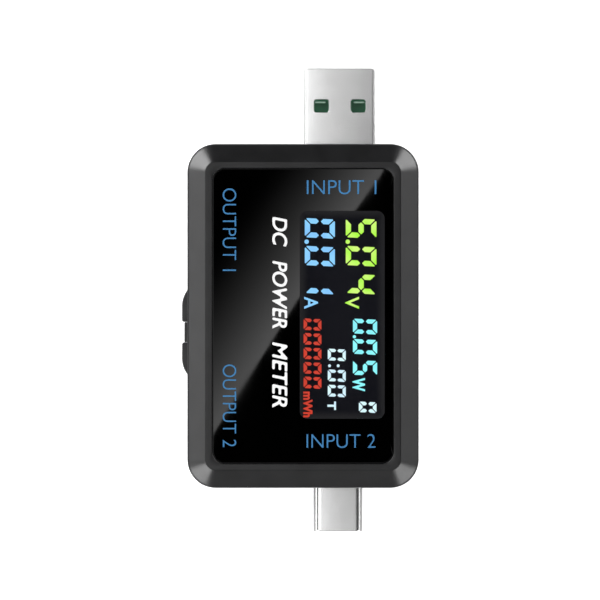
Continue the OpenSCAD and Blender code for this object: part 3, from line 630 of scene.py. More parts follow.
def openings():
    """Cutting shapes of every opening in the case's walls."""
    a_plug = rounded_rect(A_PLUG_W + A_PLUG_ROOM, A_PLUG_H + A_PLUG_ROOM, 0.6,
                          A_PLUG_X, A_PLUG_Z, FINE_STEPS)
    c_plug = stadium(C_PLUG_W + C_PLUG_ROOM, C_PLUG_H + C_PLUG_ROOM, C_PLUG_X, C_PLUG_Z,
                     FINE_STEPS)
    a_socket = rounded_rect(A_SOCKET_W + SOCKET_ROOM, A_SOCKET_H + SOCKET_ROOM, 0.7,
                            A_SOCKET_Y, A_SOCKET_Z, FINE_STEPS)
    c_socket = stadium(C_SOCKET_W + SOCKET_ROOM, C_SOCKET_H + SOCKET_ROOM,
                       C_SOCKET_Y, C_SOCKET_Z, FINE_STEPS)
    keys = [rounded_rect(KEY_L + 2 * KEY_PLAY, KEY_H + 2 * KEY_PLAY, 0.25, y, SPLIT_Z, 4)
            for y in KEY_CENTRES.values()]
    return [wall_cut(a_plug, "y", 1), wall_cut(c_plug, "y", -1), wall_cut(a_socket, "x", -1),
            wall_cut(c_socket, "x", -1)] + [wall_cut(hole, "x", -1, 0.1) for hole in keys]


def rib_half(z0, z1):
    """Half of the low rib between the keys, rounded at its outer end."""
    outline = rounded_rect(2 * (KEY_GAP - RIB_PLAY), z1 - z0, RIB_EDGE, KEYS_Y, (z0 + z1) / 2, 4)
    rings = [upright(outline, RIB_ROOT - HALF_W, "x")]
    rings += [upright(inset(outline, inwards), back - HALF_W - RIB_OUT, "x")
              for inwards, back in quarter(RIB_EDGE)]
    return loft(rings)


def front_shell():
    """Upper half: side walls, sloping band, rim, panel recess, deck and screw bosses."""
    rim_w, rim_l = PANEL_W + 2 * PANEL_PLAY, PANEL_L + 2 * PANEL_PLAY
    rim_r = PANEL_R + PANEL_PLAY
    edge = 0.12
    outside = [(SEAM, SPLIT_Z, 0), (0, SPLIT_Z + SEAM, 0), (0, BAND_Z, 0.75),
               (BAND_W, CASE_T, 0.35), (BAND_W + 0.5, CASE_T, 0)]
    rings = [case_ring(i, z) for i, z in rounded_path(outside, closed=False, steps=7)]
    for grow, z in arc(edge, CASE_T - edge, edge, 90, 180, 4):
        rings.append(ring(rounded_rect(rim_w + 2 * grow, rim_l + 2 * grow, rim_r + grow), z))
    rings.append(ring(rounded_rect(rim_w, rim_l, rim_r), DECK_TOP))
    hole = rounded_rect(WINDOW_W + DECK_HOLE_W, WINDOW_L + DECK_HOLE_L, WINDOW_R,
                        WINDOW_X, WINDOW_Y)
    rings.append(ring(hole, DECK_TOP))
    rings.append(ring(hole, DECK_Z))
    rings.append(case_ring(WALL, DECK_Z))
    rebate = WALL - LIP_T - LIP_PLAY
    rebate_z = SPLIT_Z + LIP_H + LIP_PLAY
    rings.append(case_ring(WALL, rebate_z))
    rings.append(case_ring(rebate, rebate_z))
    rings.append(case_ring(rebate, SPLIT_Z))
    shell = loft(rings, joined=True)
    extra = [turned([(BOSS_R, BOARD_TOP + 0.05), (BOSS_R, DECK_Z + 0.1)], x, y)
             for x, y in SCREW_PLACES]
    shell = combine(shell, extra, "UNION")
    pilots = [turned([(PILOT_R, BOARD_TOP - OVER), (PILOT_R, PILOT_END)], x, y)
              for x, y in SCREW_PLACES]
    shell = combine(shell, openings() + pilots)
    return combine(shell, [rib_half(SPLIT_Z, SPLIT_Z + KEY_H / 2)], "UNION")


def back_shell():
    """Lower half: chamfered back, side walls, the joint's lip, standoffs and screw holes."""
    outside = [(BACK_CHAMFER + 1, 0, 0), (BACK_CHAMFER, 0, 0.5), (0, BACK_CHAMFER, 0.5),
               (0, SPLIT_Z - SEAM, 0), (SEAM, SPLIT_Z, 0)]
    lip = WALL - LIP_T
    path = rounded_path(outside, closed=False, steps=5)
    path += [(lip, SPLIT_Z), (lip, SPLIT_Z + LIP_H - LIP_CHAMFER),
             (lip + LIP_CHAMFER, SPLIT_Z + LIP_H), (WALL, SPLIT_Z + LIP_H)]
    path += [(WALL + inwards, WALL + back) for inwards, back in quarter(FLOOR_R)]
    shell = loft([case_ring(i, z) for i, z in path])
    low = WALL - 0.3
    extra = [turned([(STANDOFF_R, low), (STANDOFF_R, BOARD_Z)], x, y) for x, y in SCREW_PLACES]
    extra += [turned([(REST_R, low), (REST_R, BOARD_Z)], 0, y) for y in (-REST_Y, REST_Y)]
    shell = combine(shell, extra, "UNION")
    cuts = openings()
    for x, y in SCREW_PLACES:
        cuts.append(turned([(RECESS_R + 0.35, -OVER), (RECESS_R, 0.15), (RECESS_R, HEAD_TOP),
                            (CLEARANCE_R, HEAD_TOP), (CLEARANCE_R, BOARD_Z + OVER)], x, y))
    for y in KEY_CENTRES.values():
        reach = KEY_L / 2 + FLANGE_EDGE + 0.2
        cuts.append(block((-HALF_W + lip - 0.1, y - reach, SPLIT_Z - 0.01),
                          (-HALF_W + WALL + OVER, y + reach, SPLIT_Z + LIP_H + OVER)))
    shell = combine(shell, cuts)
    return combine(shell, [rib_half(SPLIT_Z - KEY_H / 2, SPLIT_Z)], "UNION")


def case_screws():
    """Four self-tapping screws with rounded heads, cross slots and threaded shanks."""
    head_r, head_z, shank_r, thread_r, tip = 1.9, 0.2, 0.8, 0.98, 8.5
    pitch, plain = 0.6, 0.5
    slot_l, slot_w, slot_z = 1.1, 0.2, 1.0
    shapes = []
    for x, y in SCREW_PLACES:
        profile = rounded_path([(0.01, head_z, 0), (head_r, head_z, 0.45),
                                (head_r, HEAD_TOP, 0.1), (shank_r, HEAD_TOP, 0)],
                               closed=False, steps=6)
        for k in range(int((tip - 1.4 - HEAD_TOP) / pitch)):
            low = HEAD_TOP + plain + pitch * k
            profile += [(shank_r, low), (thread_r, low + 0.2), (thread_r, low + 0.26),
                        (shank_r, low + 0.46)]
        profile += [(shank_r, tip - 0.7), (0.15, tip)]
        slots = [bar(x, y, w, l, head_z - OVER, slot_z, 0.05)
                 for w, l in ((slot_l, slot_w), (slot_w, slot_l))]
        shapes.append(combine(turned(profile, x, y, steps=32), slots))
    return gather(shapes)


piece("front_shell_body", front_shell(), "case_plastic", nodes=["front_shell"])
piece("back_shell_body", back_shell(), "case_plastic", nodes=["back_shell"])
piece("case_screw_set", case_screws(), "screw_steel", nodes=["case_screws"])


# ---- panel and display

def panel():
    """Glossy panel with rounded edges and a hole for the clear window."""
    outline = rounded_rect(PANEL_W, PANEL_L, PANEL_R)
    hole = rounded_rect(WINDOW_W, WINDOW_L, WINDOW_R, WINDOW_X, WINDOW_Y)
    rings = [ring(outline, PANEL_Z)]
    rings += [ring(inset(outline, inwards), PANEL_TOP - back) for inwards, back in quarter(0.12)]
    rings += [ring(hole, PANEL_TOP), ring(hole, PANEL_Z)]
    return loft(rings, joined=True)


def lens():
    """Clear window that fills the hole in the panel."""
    play = 0.01
    outline = rounded_rect(WINDOW_W - 2 * play, WINDOW_L - 2 * play, WINDOW_R - play,
                           WINDOW_X, WINDOW_Y)
    return slab(outline, PANEL_Z, PANEL_TOP)


def letter_loops(text, shear):
    """Closed outlines of letters drawn at a height of about one: anticlockwise round the ink, and
    clockwise round the holes in it."""
    curve = bpy.data.curves.new("letters", "FONT")
    curve.body = text
    curve.shear = shear
    curve.resolution_u = 6
    holder = placed("letters", curve)
    depsgraph = bpy.context.evaluated_depsgraph_get()
    mesh = bpy.data.meshes.new_from_object(holder.evaluated_get(depsgraph))
    work = bmesh.new()
    work.from_mesh(mesh)
    bpy.data.objects.remove(holder)
    bpy.data.curves.remove(curve)
    bpy.data.meshes.remove(mesh)
    bmesh.ops.remove_doubles(work, verts=work.verts, dist=1e-4)
    rim = dict.fromkeys(edge for edge in work.edges if len(edge.link_faces) == 1)
    loops = []
    while rim:
        edge = rim.popitem()[0]
        first = edge.link_loops[0].vert
        at = edge.other_vert(first)
        loop = [first.co.xy.copy()]
        while at != first:
            loop.append(at.co.xy.copy())
            edge = next(e for e in at.link_edges if e in rim)
            del rim[edge]
            at = edge.other_vert(at)
        loops.append(loop)
    work.free()
    return loops


def swollen(loop, grow):
    """Outline moved outwards, without the short sides that would turn over."""
    kept = []
    moved = [Vector(p) for p in inset(loop, -grow)]
    for i, at in enumerate(moved):
        turned_over = (at - moved[i - 1]).dot(loop[i] - loop[i - 1]) <= 0
        if turned_over and kept:
            kept[-1] = (kept[-1] + at) / 2
        else:
            kept.append(at)
    return kept


def eased(loop, radius):
    """Outline whose sharp corners are rounded as far as its sides allow."""
    corners = []
    count = len(loop)
    for i, at in enumerate(loop):
        back, ahead = loop[i - 1] - at, loop[(i + 1) % count] - at
        open_angle = back.angle(ahead)
        room = 0.48 * min(back.length, ahead.length) * tan(open_angle / 2)
        is_sharp = degrees(open_angle) < 150
        corners.append((at.x, at.y, min(radius, room) if is_sharp else 0))
    return rounded_path(corners, steps=5)


def flat_solid(loops, z, thickness):
    """Flat solid that fills outlines, with holes where one lies inside another."""
    work = bmesh.new()
    for loop in loops:
        points = [work.verts.new((x, y, z)) for x, y in loop]
        for i, point in enumerate(points):
            work.edges.new((points[i - 1], point))
    bmesh.ops.triangle_fill(work, edges=work.edges, use_beauty=True)
    grown = bmesh.ops.extrude_face_region(work, geom=work.faces[:])
    lifted = [item for item in grown["geom"] if isinstance(item, bmesh.types.BMVert)]
    bmesh.ops.translate(work, verts=lifted, vec=(0, 0, thickness))
    bmesh.ops.recalc_face_normals(work, faces=work.faces)
    return as_mesh(work)


def lettering(text, centre, width, height, z, thickness, down=False, shear=0.0, grow=0.0,
              ease=0.05):
    """Flat letters that fill a width and height round a centre, with their strokes grown on each
    side. Where down is set, the text reads towards -Y with its top towards +X."""
    loops = letter_loops(text, shear)
    low = [min(p[i] for loop in loops for p in loop) for i in (0, 1)]
    high = [max(p[i] for loop in loops for p in loop) for i in (0, 1)]
    to_middle = Matrix.Translation((-(low[0] + high[0]) / 2, -(low[1] + high[1]) / 2, 0))
    fit = Matrix.Diagonal(((width - 2 * grow) / (high[0] - low[0]),
                           (height - 2 * grow) / (high[1] - low[1]), 1, 1))
    turn = Matrix.Rotation(radians(-90 if down else 0), 4, "Z")
    place = Matrix.Translation((*centre, 0)) @ turn @ fit @ to_middle
    placed = [[(place @ p.to_3d()).to_2d() for p in loop] for loop in loops]
    return flat_solid([eased(swollen(loop, grow), ease) for loop in placed], z, thickness)


PRINT_T = 0.02              # thickness of the printed ink
PRINT_Z = PANEL_TOP
LABELS = (
    ("INPUT 1", (6.49, 21.67), 11.7, 2.36, False),
    ("INPUT 2", (6.39, -21.05), 11.6, 2.33, False),
    ("OUTPUT 1", (-12.38, 14.53), 13.9, 2.29, True),
    ("OUTPUT 2", (-12.38, -15.11), 13.9, 2.29, True),
)
TITLE = (
    ("DC", (-3.92, 14.2), 5.0, 2.54),
    ("POWER", (-3.92, 3.6), 11.4, 2.54),
    ("METER", (-3.92, -9.9), 11.0, 2.54),
)

plate = piece("panel_plate", panel(), "panel_gloss", nodes=["display_window"])
clear_window = piece("panel_lens", lens(), "panel_gloss", nodes=["display_window"], material=LENS)
labels = [lettering(text, centre, w, h, PRINT_Z, PRINT_T, down, grow=-0.03)
          for text, centre, w, h, down in LABELS]
piece("panel_labels", gather(labels), "panel_gloss", material=INK_BLUE)
title = [lettering(text, centre, w, h, PRINT_Z, PRINT_T, True, shear=0.2, grow=0.06, ease=0.25)
         for text, centre, w, h in TITLE]
piece("panel_title", gather(title), "panel_gloss", material=INK_WHITE)

# Segments of a digit, by letter: top, upper right, lower right, base, lower left, upper left, bar
DIGITS = {"0": "abcdef", "1": "bc", "4": "bcfg", "5": "acdfg"}
SEGMENT_T = 0.03
SEGMENT_Z = LCD_TOP
DIGIT_SLANT = 2.9           # degrees
DIGIT_GAP = 0.19            # gap between segments, as a share of their stroke


def segment_corners(letter, w, h, t):
    """Corners of one segment of a digit, anticlockwise. The base, the lower left and the bar are
    drawn, and the others are their mirror images."""
    m = h / 2
    base = [(0, 0), (w, 0), (w - t, t), (t, t)]
    left = [(0, 0), (t, t), (t, m - t / 2), (t / 2, m), (0, m - t / 2)]
    if letter == "g":
        return [(t / 2, m), (t, m - t / 2), (w - t, m - t / 2), (w - t / 2, m),
                (w - t, m + t / 2), (t, m + t / 2)]
    corners = base if letter in "ad" else left
    if letter in "bc":
        corners = [(w - x, y) for x, y in corners[::-1]]
    if letter in "abf":
        corners = [(x, h - y) for x, y in corners[::-1]]
    return corners


def digit(letter, w, h, t, gap, slant):
    """Outlines of a digit's segments, each with a gap round it and rounded corners."""
    outlines = []
    for name in DIGITS[letter]:
        corners = inset(segment_corners(name, w, h, t), gap / 2)
        path = rounded_path([(x, y, 0.1 * t) for x, y in corners], steps=3)
        outlines.append([(x + slant * y, y) for x, y in path])
    return outlines


def read_down(outline, x, y):
    """Outline turned to read towards -Y with its top towards +X, from its lower start corner."""
    return [(x + v, y - u) for u, v in outline]


def number(text, x, starts, w, h, t, dots=()):
    """Row of seven-segment digits with round points, as flat tiles."""
    slant = tan(radians(DIGIT_SLANT))
    tiles = []
    gap = DIGIT_GAP * t
    for letter, y in zip(text, starts):
        for outline in digit(letter, w - slant * h, h, t, gap, slant):
            tiles.append(slab(read_down(outline, x, y), SEGMENT_Z, SEGMENT_Z + SEGMENT_T))
    for dot_x, dot_y, size in dots:
        outline = arc(dot_x, dot_y, size / 2, 0, 360, 20)[:-1]
        tiles.append(slab(outline, SEGMENT_Z, SEGMENT_Z + SEGMENT_T))
    return tiles


def unit(text, x, y, height, width, grow=0.05):
    """Letters of a unit, from the lowest X and the highest Y that they reach."""
    return lettering(text, (x + height / 2, y - width / 2), width, height, SEGMENT_Z, SEGMENT_T,
                     down=True, grow=grow)


def readings():
    """Everything that the display shows, by colour."""
    large = (16.63, 11.94, 7.25)
    small = [-0.33 - 2.45 * k for k in range(5)]
    return {
        "lime": number("504", 7.10, large, 3.73, 5.39, 1.1, [(7.54, 12.52, 0.75)])
        + [unit("V", 7.10, 3.23, 2.34, 2.01)],
        "blue": number("001", 0.19, large, 3.73, 5.29, 1.1, [(0.61, 12.52, 0.75)])
        + [unit("A", 0.19, 3.23, 2.34, 2.01)],
        "red": number("00000", 0.03, small, 2.24, 3.14, 0.72)
        + [unit("mWh", 0.03, -12.75, 1.57, 4.34, grow=0.08)],
        "white": number("000", 4.11, (-5.44, -8.94, -11.52), 2.26, 3.16, 0.66,
                        [(4.47, -8.40, 0.5), (5.93, -8.40, 0.5)])
        + [unit("T", 4.11, -14.42, 1.45, 1.43, grow=0.08)]
        + number("0", 9.34, (-14.34,), 2.1, 3.12, 0.76),
        "cyan": number("005", 8.33, (-0.35, -3.78, -7.32), 2.88, 4.25, 0.88,
                       [(8.66, -3.50, 0.55)])
        + [unit("W", 8.33, -10.46, 2.12, 2.23, grow=0.08)],
    }


for colour, tiles in readings().items():
    piece(f"display_segments_{colour}", gather(tiles), "polariser_film", material=GLOW[colour])


# ---- plugs and sockets

def latch_windows():
    """Cutting shapes of the plug's two latch windows on each flat side."""
    start, flare = 0.5, 0.1
    shapes = []
    for side in (-1, 1):
        outline = rounded_rect(A_WINDOW_W, A_WINDOW_L, 0.4, A_PLUG_X + side * A_WINDOW_X,
                               A_WINDOW_Y, FINE_STEPS)
        for sign in (-1, 1):
            face = A_PLUG_Z + sign * A_PLUG_H / 2
            shapes.append(loft([ring(outline, A_PLUG_Z + sign * start),
                                ring(outline, face - sign * flare),
                                ring(inset(outline, -flare - OVER), face + sign * OVER)]))
    return shapes


def sleeve(outer, sheet, rear, tip, lip, mouth, steps=5):
    """Sections of a sheet-metal sleeve, from its rear to its rounded tip and back inside. The
    mouth lists how far the inner outline is widened, and how deep inside the tip."""
    inner = inset(outer, sheet)
    into = 1 if rear > tip else -1
    sections = [(outer, rear)]
    sections += [(inset(outer, inwards), tip + into * back) for inwards, back in quarter(lip, steps)]
    sections += [(inset(inner, -grow), tip + into * depth) for grow, depth in mouth]
    return sections + [(inner, rear)]


def usb_a_plug_shell():
    """Folded steel shell with rolled tip edges, latch windows, a seam and solder legs."""
    outer = sheet_outline(A_PLUG_W, A_PLUG_H, r=0.5, crown=0.12)
    sections = sleeve(outer, SHELL_SHEET, A_PLUG_REAR, A_PLUG_TIP, 0.14, ((0.08, 0), (0, 0.08)))
    shell = tube(sections, "y", (A_PLUG_X, A_PLUG_Z))
    leg_y, leg_w, seam_w, seam_depth = A_PLUG_REAR + 1.2, 1.1, 0.06, 0.12
    legs = []
    for side in (-1, 1):
        x = A_PLUG_X + side * (A_PLUG_W - SHELL_SHEET) / 2
        legs.append(bar(x, leg_y, SHELL_SHEET / 2, leg_w / 2, PIN_END, BOARD_TOP + LEG_JOIN, 0.05))
    shell = combine(shell, legs, "UNION")
    base = A_PLUG_Z - A_PLUG_H / 2
    seam = block((A_PLUG_X - seam_w / 2, A_PLUG_REAR - OVER, base - OVER),
                 (A_PLUG_X + seam_w / 2, A_PLUG_TIP + OVER, base + seam_depth))
    return combine(shell, latch_windows() + [seam])


def usb_a_plug_core():
    """Insulator of the plug: a full block, then a tongue with contact grooves and two pockets."""
    half, top = A_PLUG_W / 2 - SHELL_SHEET, A_PLUG_Z + A_PLUG_H / 2 - SHELL_SHEET
    base = A_PLUG_Z - A_PLUG_H / 2 + SHELL_SHEET
    block_end, tongue_end = A_PLUG_REAR + A_BLOCK_L, A_PLUG_TIP - A_TONGUE_GAP
    core = block((A_PLUG_X - half, A_PLUG_REAR, base), (A_PLUG_X + half, block_end, top), 0.15)
    tongue = block((A_PLUG_X - half + 0.2, block_end - 1, A_PLUG_Z),
                   (A_PLUG_X + half - 0.2, tongue_end, top), 0.15)
    core = combine(core, [tongue], "UNION")
    cuts = []
    for x in A_CONTACTS_X:
        cuts.append(block((A_PLUG_X + x - 0.5, A_PLUG_REAR - OVER, A_PLUG_Z - 0.1),
                          (A_PLUG_X + x + 0.5, tongue_end + OVER, A_PLUG_Z + 0.2)))
    for side in (-1, 1):
        outline = rounded_rect(A_WINDOW_W - 0.2, A_WINDOW_L - A_LEDGE_IN, 0.1,
                               A_PLUG_X + side * A_WINDOW_X, A_WINDOW_Y - A_LEDGE_IN / 2, 3)
        cuts.append(loft([ring(outline, top - 0.5), ring(outline, top - 0.15),
                          ring(inset(outline, -0.15 - OVER), top + OVER)]))
    return combine(core, cuts)


def usb_a_plug_highlight_ledges():
    """Smooth moulded ledge across the pocket under each latch window, finished pale green as a
    painted highlight line.
    """
    half_w, half_l, depth = 0.88, 0.15, 0.5
    top = A_PLUG_Z + A_PLUG_H / 2 - SHELL_SHEET
    y = A_WINDOW_Y + A_WINDOW_L / 2 - 0.47
    shapes = []
    for side in (-1, 1):
        x = A_PLUG_X + side * (A_WINDOW_X + 0.15)
        shapes.append(bar(x, y, half_w, half_l, top - depth, top - 0.02, 0.06))
    return gather(shapes)


def usb_c_plug_shell():
    """Drawn steel shell with slightly swollen flat sides and a rounded tip."""
    crown = 0.05
    outer = sheet_outline(C_PLUG_W, C_PLUG_H, C_PLUG_H / 2 - crown, crown)
    sections = sleeve(outer, C_SHEET, C_PLUG_REAR, C_PLUG_TIP, 0.15, ((0, 0.05),))
    return tube(sections, "y", (C_PLUG_X, C_PLUG_Z))


def socket_shell(outline, sheet, rear, centre):
    """Folded steel shell of a socket with an eased mouth."""
    sections = sleeve(outline, sheet, rear, SOCKET_MOUTH, 0.1, ((0.12, 0), (0, 0.12)), steps=4)
    return tube(sections, "x", centre)


def socket_legs(places, w, sheet, y, top, leg_w):
    """Solder legs down both sides of a socket."""
    legs = []
    for x in places:
        for side in (-1, 1):
            at = y + side * (w - sheet) / 2
            legs.append(bar(SOCKET_MOUTH + x, at, leg_w / 2, sheet / 2, PIN_END, top, 0.05))
    return legs


def usb_a_socket_shell():
    """Socket shell with two spring tongues cut in its top."""
    outline = rounded_rect(A_SOCKET_W, A_SOCKET_H, 0.5, steps=FINE_STEPS)
    shell = socket_shell(outline, SHELL_SHEET, A_SOCKET_REAR, (A_SOCKET_Y, A_SOCKET_Z))
    legs = socket_legs((4.2, 11.5), A_SOCKET_W, SHELL_SHEET, A_SOCKET_Y, BOARD_TOP + LEG_JOIN, 1.1)
    shell = combine(shell, legs, "UNION")
    cuts = []
    top = A_SOCKET_Z + A_SOCKET_H / 2
    x0, x1 = SOCKET_MOUTH + 3, SOCKET_MOUTH + 10
    out, into = 1.25, 0.85          # edges of each cut, from the tongue's centre line
    for side in (-1, 1):
        y = A_SOCKET_Y + side * 3.1
        for low, high in (((x0, y - out), (x1, y - into)), ((x0, y + into), (x1, y + out)),
                          ((x1 - out + into, y - out), (x1, y + out))):
            cuts.append(block((*low, top - SHELL_SHEET - OVER), (*high, top + OVER)))
    return combine(shell, cuts)


def usb_c_socket_shell():
    """Socket shell with half-round sides."""
    outline = stadium(C_SOCKET_W, C_SOCKET_H)
    shell = socket_shell(outline, SHELL_SHEET, C_SOCKET_REAR, (C_SOCKET_Y, C_SOCKET_Z))
    legs = socket_legs((3.2, 6.4), C_SOCKET_W, SHELL_SHEET, C_SOCKET_Y, C_SOCKET_Z, 0.9)
    return combine(shell, legs, "UNION")


piece("usb_a_plug_sleeve", usb_a_plug_shell(), "plug_steel", nodes=["usb_a_plug_shell"])
piece("usb_c_plug_sleeve", usb_c_plug_shell(), "plug_steel", nodes=["usb_c_plug_shell"])
piece("usb_a_socket_cage", usb_a_socket_shell(), "plug_steel", nodes=["usb_a_socket_shell"])
piece("usb_c_socket_cage", usb_c_socket_shell(), "plug_steel", nodes=["usb_c_socket_shell"])
piece("usb_a_plug_core", usb_a_plug_core(), "insulator_green", nodes=["usb_a_plug_insulator"])
# The ledges' pale finish paints a highlight line in each latch window.
piece("usb_a_plug_highlight_ledges", usb_a_plug_highlight_ledges(), "insulator_green", material=LEDGE_PAINTED_HIGHLIGHT)


# ---- keys

def push_key(direction, centre_y):
    """Key with a curved outer end, softened edges, a hidden flange and the nub on its back."""
    inside = -HALF_W - KEY_FLANGE_X
    angle = degrees(asin((KEY_CURVE_R - KEY_OUT) / KEY_CURVE_R))
    run = KEY_CURVE_R * cos(radians(angle))
    outline = [(0, inside), (KEY_L, inside)]
    outline += arc(KEY_L - run, KEY_OUT - KEY_CURVE_R, KEY_CURVE_R, angle, 90, 14)
    outline += arc(KEY_CORNER_R, KEY_OUT - KEY_CORNER_R, KEY_CORNER_R, 90, 180, 6)
    head = slab(outline, SPLIT_Z - KEY_H / 2, SPLIT_Z + KEY_H / 2, 0.22, 0.22)
    start = KEYS_Y + direction * KEY_GAP
    head.transform(Matrix(((0, -1, 0, -HALF_W), (direction, 0, 0, start),
                           (0, 0, 1, 0), (0, 0, 0, 1))))
    reach, tall = KEY_L / 2 + FLANGE_EDGE, KEY_H / 2 + FLANGE_EDGE
    flange = block((KEY_FLANGE_X, centre_y - reach, SPLIT_Z - tall),
                   (KEY_FLANGE_X + FLANGE_T, centre_y + reach, SPLIT_Z + tall), 0.1)
    nub_start = KEY_FLANGE_X + FLANGE_T / 2
    nub_l = span("upper_key", 0)[1] - nub_start
    nub = turned([(NUB_R, 0), (NUB_R, nub_l - 0.2), (NUB_R - 0.2, nub_l)], steps=32)
    nub.transform(Matrix.Translation((nub_start, centre_y, SPLIT_Z))
                  @ Matrix.Rotation(radians(90), 4, "Y"))
    return combine(head, [flange, nub], "UNION")


for name, direction in (("upper", 1), ("lower", -1)):
    piece(f"{name}_push_key", push_key(direction, KEY_CENTRES[name]), "key_plastic",
          nodes=[f"{name}_key"], body=f"{name}_button")


# ---- CAD nodes that are kept

for node, part in sorted(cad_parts.items()):
    if part.hide_render:
        continue
    for index, packed in enumerate(part.data.materials):
        part.data.materials[index] = FINISH[packed.name.split(".")[0]]
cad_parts["lcd_front_polariser"].data.materials[0] = SCREEN


# ---- studio

def camera_above(x, y, plane, width, lens):
    """Camera that looks straight down and sees a width at the height of a plane."""
    data = bpy.data.cameras.new("camera")
    data.lens = lens
    data.sensor_width = VIEW_SENSOR
    data.clip_start = 0.05
    data.clip_end = 10
    made = placed("camera", data)
    made.location = (x * MM, y * MM, (plane + width * lens / VIEW_SENSOR) * MM)
    bpy.context.scene.camera = made


def softbox(name, azimuth, elevation, width, height, radiance):
    """Soft area light on a dome round the object. Azimuth runs anticlockwise from +X."""
    lamp = bpy.data.lights.new(name, "AREA")
    lamp.shape = "RECTANGLE"
    lamp.size = width
    lamp.size_y = height
    lamp.energy = radiance * pi * width * height
    made = placed(name, lamp)
    a, e = radians(azimuth), radians(elevation)
    out = Vector((cos(a) * cos(e), sin(a) * cos(e), sin(e)))
    made.location = out * DOME_R
    made.rotation_mode = "QUATERNION"
    made.rotation_quaternion = out.to_track_quat("Z", "Y")
    made.visible_camera = False
    return made


def flag_off(lamp, pieces):
    """Keep a light off some pieces, as a black flag does in a studio."""
    flagged = bpy.data.collections.new(f"flagged from {lamp.name}")
    for made in pieces:
        flagged.objects.link(made)
    for member in flagged.collection_objects:
        member.light_linking.link_state = "EXCLUDE"
    lamp.light_linking.receiver_collection = flagged


def sheet_object(name, corners, material):
    """Flat staged sheet through four corners, facing the side from which they run anticlockwise."""
    mesh = bpy.data.meshes.new(name)
    mesh.from_pydata(corners, [], [(0, 1, 2, 3)])
    mesh.materials.append(material)
    made = placed(name, mesh)
    return made


def diagonal_card(start, end, depth, height, radiance):
    """Reflector card whose brightest, straight edge runs between two points over the panel."""
    first, last = Vector(start) * MM, Vector(end) * MM
    along = last - first
    half, deep = along.length * CARD_SPARE / 2, depth * MM
    look = unlit_material("card")
    axes = add(look, "SeparateXYZ", {"Vector": own_space(look)})
    fade = add(look, "MapRange", {"Value": axes.outputs["Y"], "From Min": deep, "From Max": 0})
    curve = add(look, "Math", {0: fade, 1: CARD_FALL}, operation="POWER")
    level = add(look, "Math", {0: curve, 1: radiance}, operation="MULTIPLY")
    show(look, add(look, "Emission", {"Strength": level}))
    corners = [(-half, 0, 0), (-half, deep, 0), (half, deep, 0), (half, 0, 0)]
    made = sheet_object("card", corners, look)
    made.location = (*((first + last) / 2), height * MM)
    made.rotation_euler = (0, 0, atan2(along.y, along.x))
    made.visible_camera = False
    made.visible_shadow = False


def pale_floor(tone, own, in_gloss):
    """White floor, lifted towards white for the camera and greyer in mirrored views, so that the
    rounded edges of bright metal stand out from it. It isn't there when it is seen from below,
    nor for the light that reaches the object's back."""
    half = 3.0
    look = finish_of("floor", (1, 1, 1), 0.9, Specular_IOR_Level=0.0)
    path = add(look, "LightPath").outputs
    shade(look, {"Base Color": add(look, "MapRange", {
        "Value": path["Is Glossy Ray"], "To Min": tone, "To Max": in_gloss})})
    lift = add(look, "Math", {0: path["Is Camera Ray"], 1: own}, operation="MULTIPLY")
    both = add(look, "AddShader", {0: look.node_tree.nodes["Principled BSDF"],
                                   1: add(look, "Emission", {"Strength": lift})})
    absent = add(look, "Math", {0: add(look, "NewGeometry").outputs["Backfacing"],
                                1: path["Is Shadow Ray"]}, operation="MAXIMUM")
    show(look, add(look, "MixShader",
                   {"Fac": absent, 1: both, 2: add(look, "BsdfTransparent")}))
    corners = [(-half, -half, 0), (half, -half, 0), (half, half, 0), (-half, half, 0)]
    sheet_object("floor", corners, look)


def pale_room(seen, around):
    """World that is pale to the camera and gives a faint even light to the object, except from
    straight above, so that the panel's gloss stays black."""
    world = bpy.data.worlds.new("room")
    bpy.context.scene.world = world
    world.use_nodes = True
    place = add(world, "TexCoord").outputs["Generated"]
    axes = add(world, "SeparateXYZ", {"Vector": place})
    low = add(world, "MapRange", {"Value": axes.outputs["Z"], "From Min": 0.97, "From Max": 0.80,
                                  "To Max": around}, interpolation_type="SMOOTHSTEP")
    choose = add(world, "Mix", {"Factor": add(world, "LightPath").outputs["Is Camera Ray"],
                                "A": low, "B": seen}, data_type="FLOAT")
    feed(world, world.node_tree.nodes["Background"], {"Color": (1, 1, 1, 1), "Strength": choose})


# Camera: the middle of the view, the plane where its width holds, its lens and its sensor
VIEW_X, VIEW_Y, VIEW_PLANE, VIEW_W = -0.51, 2.69, 10.8, 101.15
VIEW_LENS, VIEW_SENSOR = 500, 36

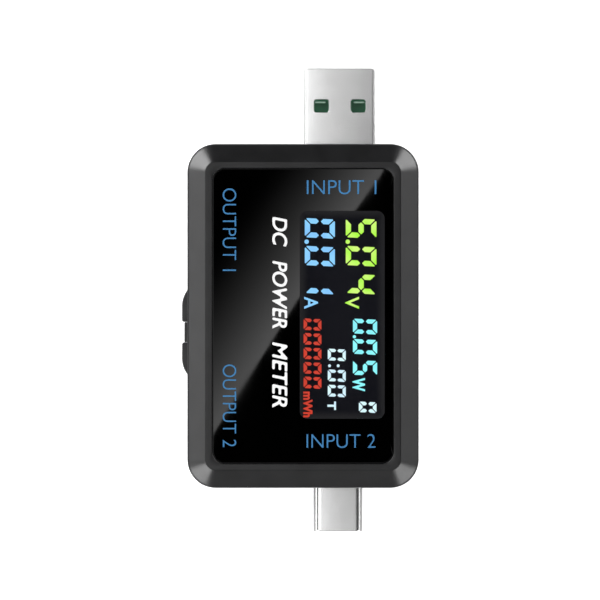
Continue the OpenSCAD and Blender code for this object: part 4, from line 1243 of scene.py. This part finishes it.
# Card: the panel mirrors its straight edge from one place to the other
CARD_FROM, CARD_TO = (-15.3, -19.6), (13.2, 24.6)
CARD_DEPTH = 17.5           # depth of its reflection
CARD_HEIGHT = 300.0
CARD_FALL = 2.4             # power of the fall in brightness away from the edge
CARD_SPARE = 1.6            # length against that of the mirrored edge
CARD_LIFT = (CARD_HEIGHT - PANEL_TOP) / (VIEW_PLANE + VIEW_W * VIEW_LENS / VIEW_SENSOR - PANEL_TOP)

# Softboxes: azimuth, elevation, width and height in metres, radiance
DOME_R = 0.42
LOW, NEAR = 19, 71
SIDE, DIAGONAL, OVERHEAD = (0.2, 0.12), (0.34, 0.14), (0.24, 0.2)
SOFTBOXES = {
    "low_right": (0, LOW, *SIDE, 1.4),
    "low_back_right": (38, LOW, *DIAGONAL, 10.0),
    "low_back_left": (142, LOW, *DIAGONAL, 12.0),
    "low_left": (180, LOW, *SIDE, 2.6),
    "low_front_left": (225, LOW, *DIAGONAL, 8.2),
    "low_front": (270, LOW, *SIDE, 0.6),
    "low_front_right": (315, LOW, *DIAGONAL, 7.0),
    "near_back": (90, NEAR, *OVERHEAD, 0.6),
    "near_left": (180, NEAR, *OVERHEAD, 1.6),
    "near_front": (270, NEAR, *OVERHEAD, 0.8),
    "under_left": (200, -40, 0.4, 0.3, 2.5),
    "under_right": (20, -50, 0.4, 0.3, 1.5),
}


def card_place(x, y):
    """Where the card's edge has to be for the panel to mirror it at a place."""
    return (x + (x - VIEW_X) * CARD_LIFT, y + (y - VIEW_Y) * CARD_LIFT)


bpy.context.scene.view_settings.view_transform = "Standard"
camera_above(VIEW_X, VIEW_Y, VIEW_PLANE, VIEW_W, VIEW_LENS)
for name, box in SOFTBOXES.items():
    lamp = softbox(name, *box)
    if box[1] == LOW:       # a low light would whiten the panel in a slanting view
        flag_off(lamp, (plate, clear_window))
diagonal_card(card_place(*CARD_FROM), card_place(*CARD_TO), CARD_DEPTH * (1 + CARD_LIFT),
              CARD_HEIGHT, radiance=2.0)
pale_floor(tone=0.85, own=0.7, in_gloss=0.45)
pale_room(seen=1.0, around=0.035)
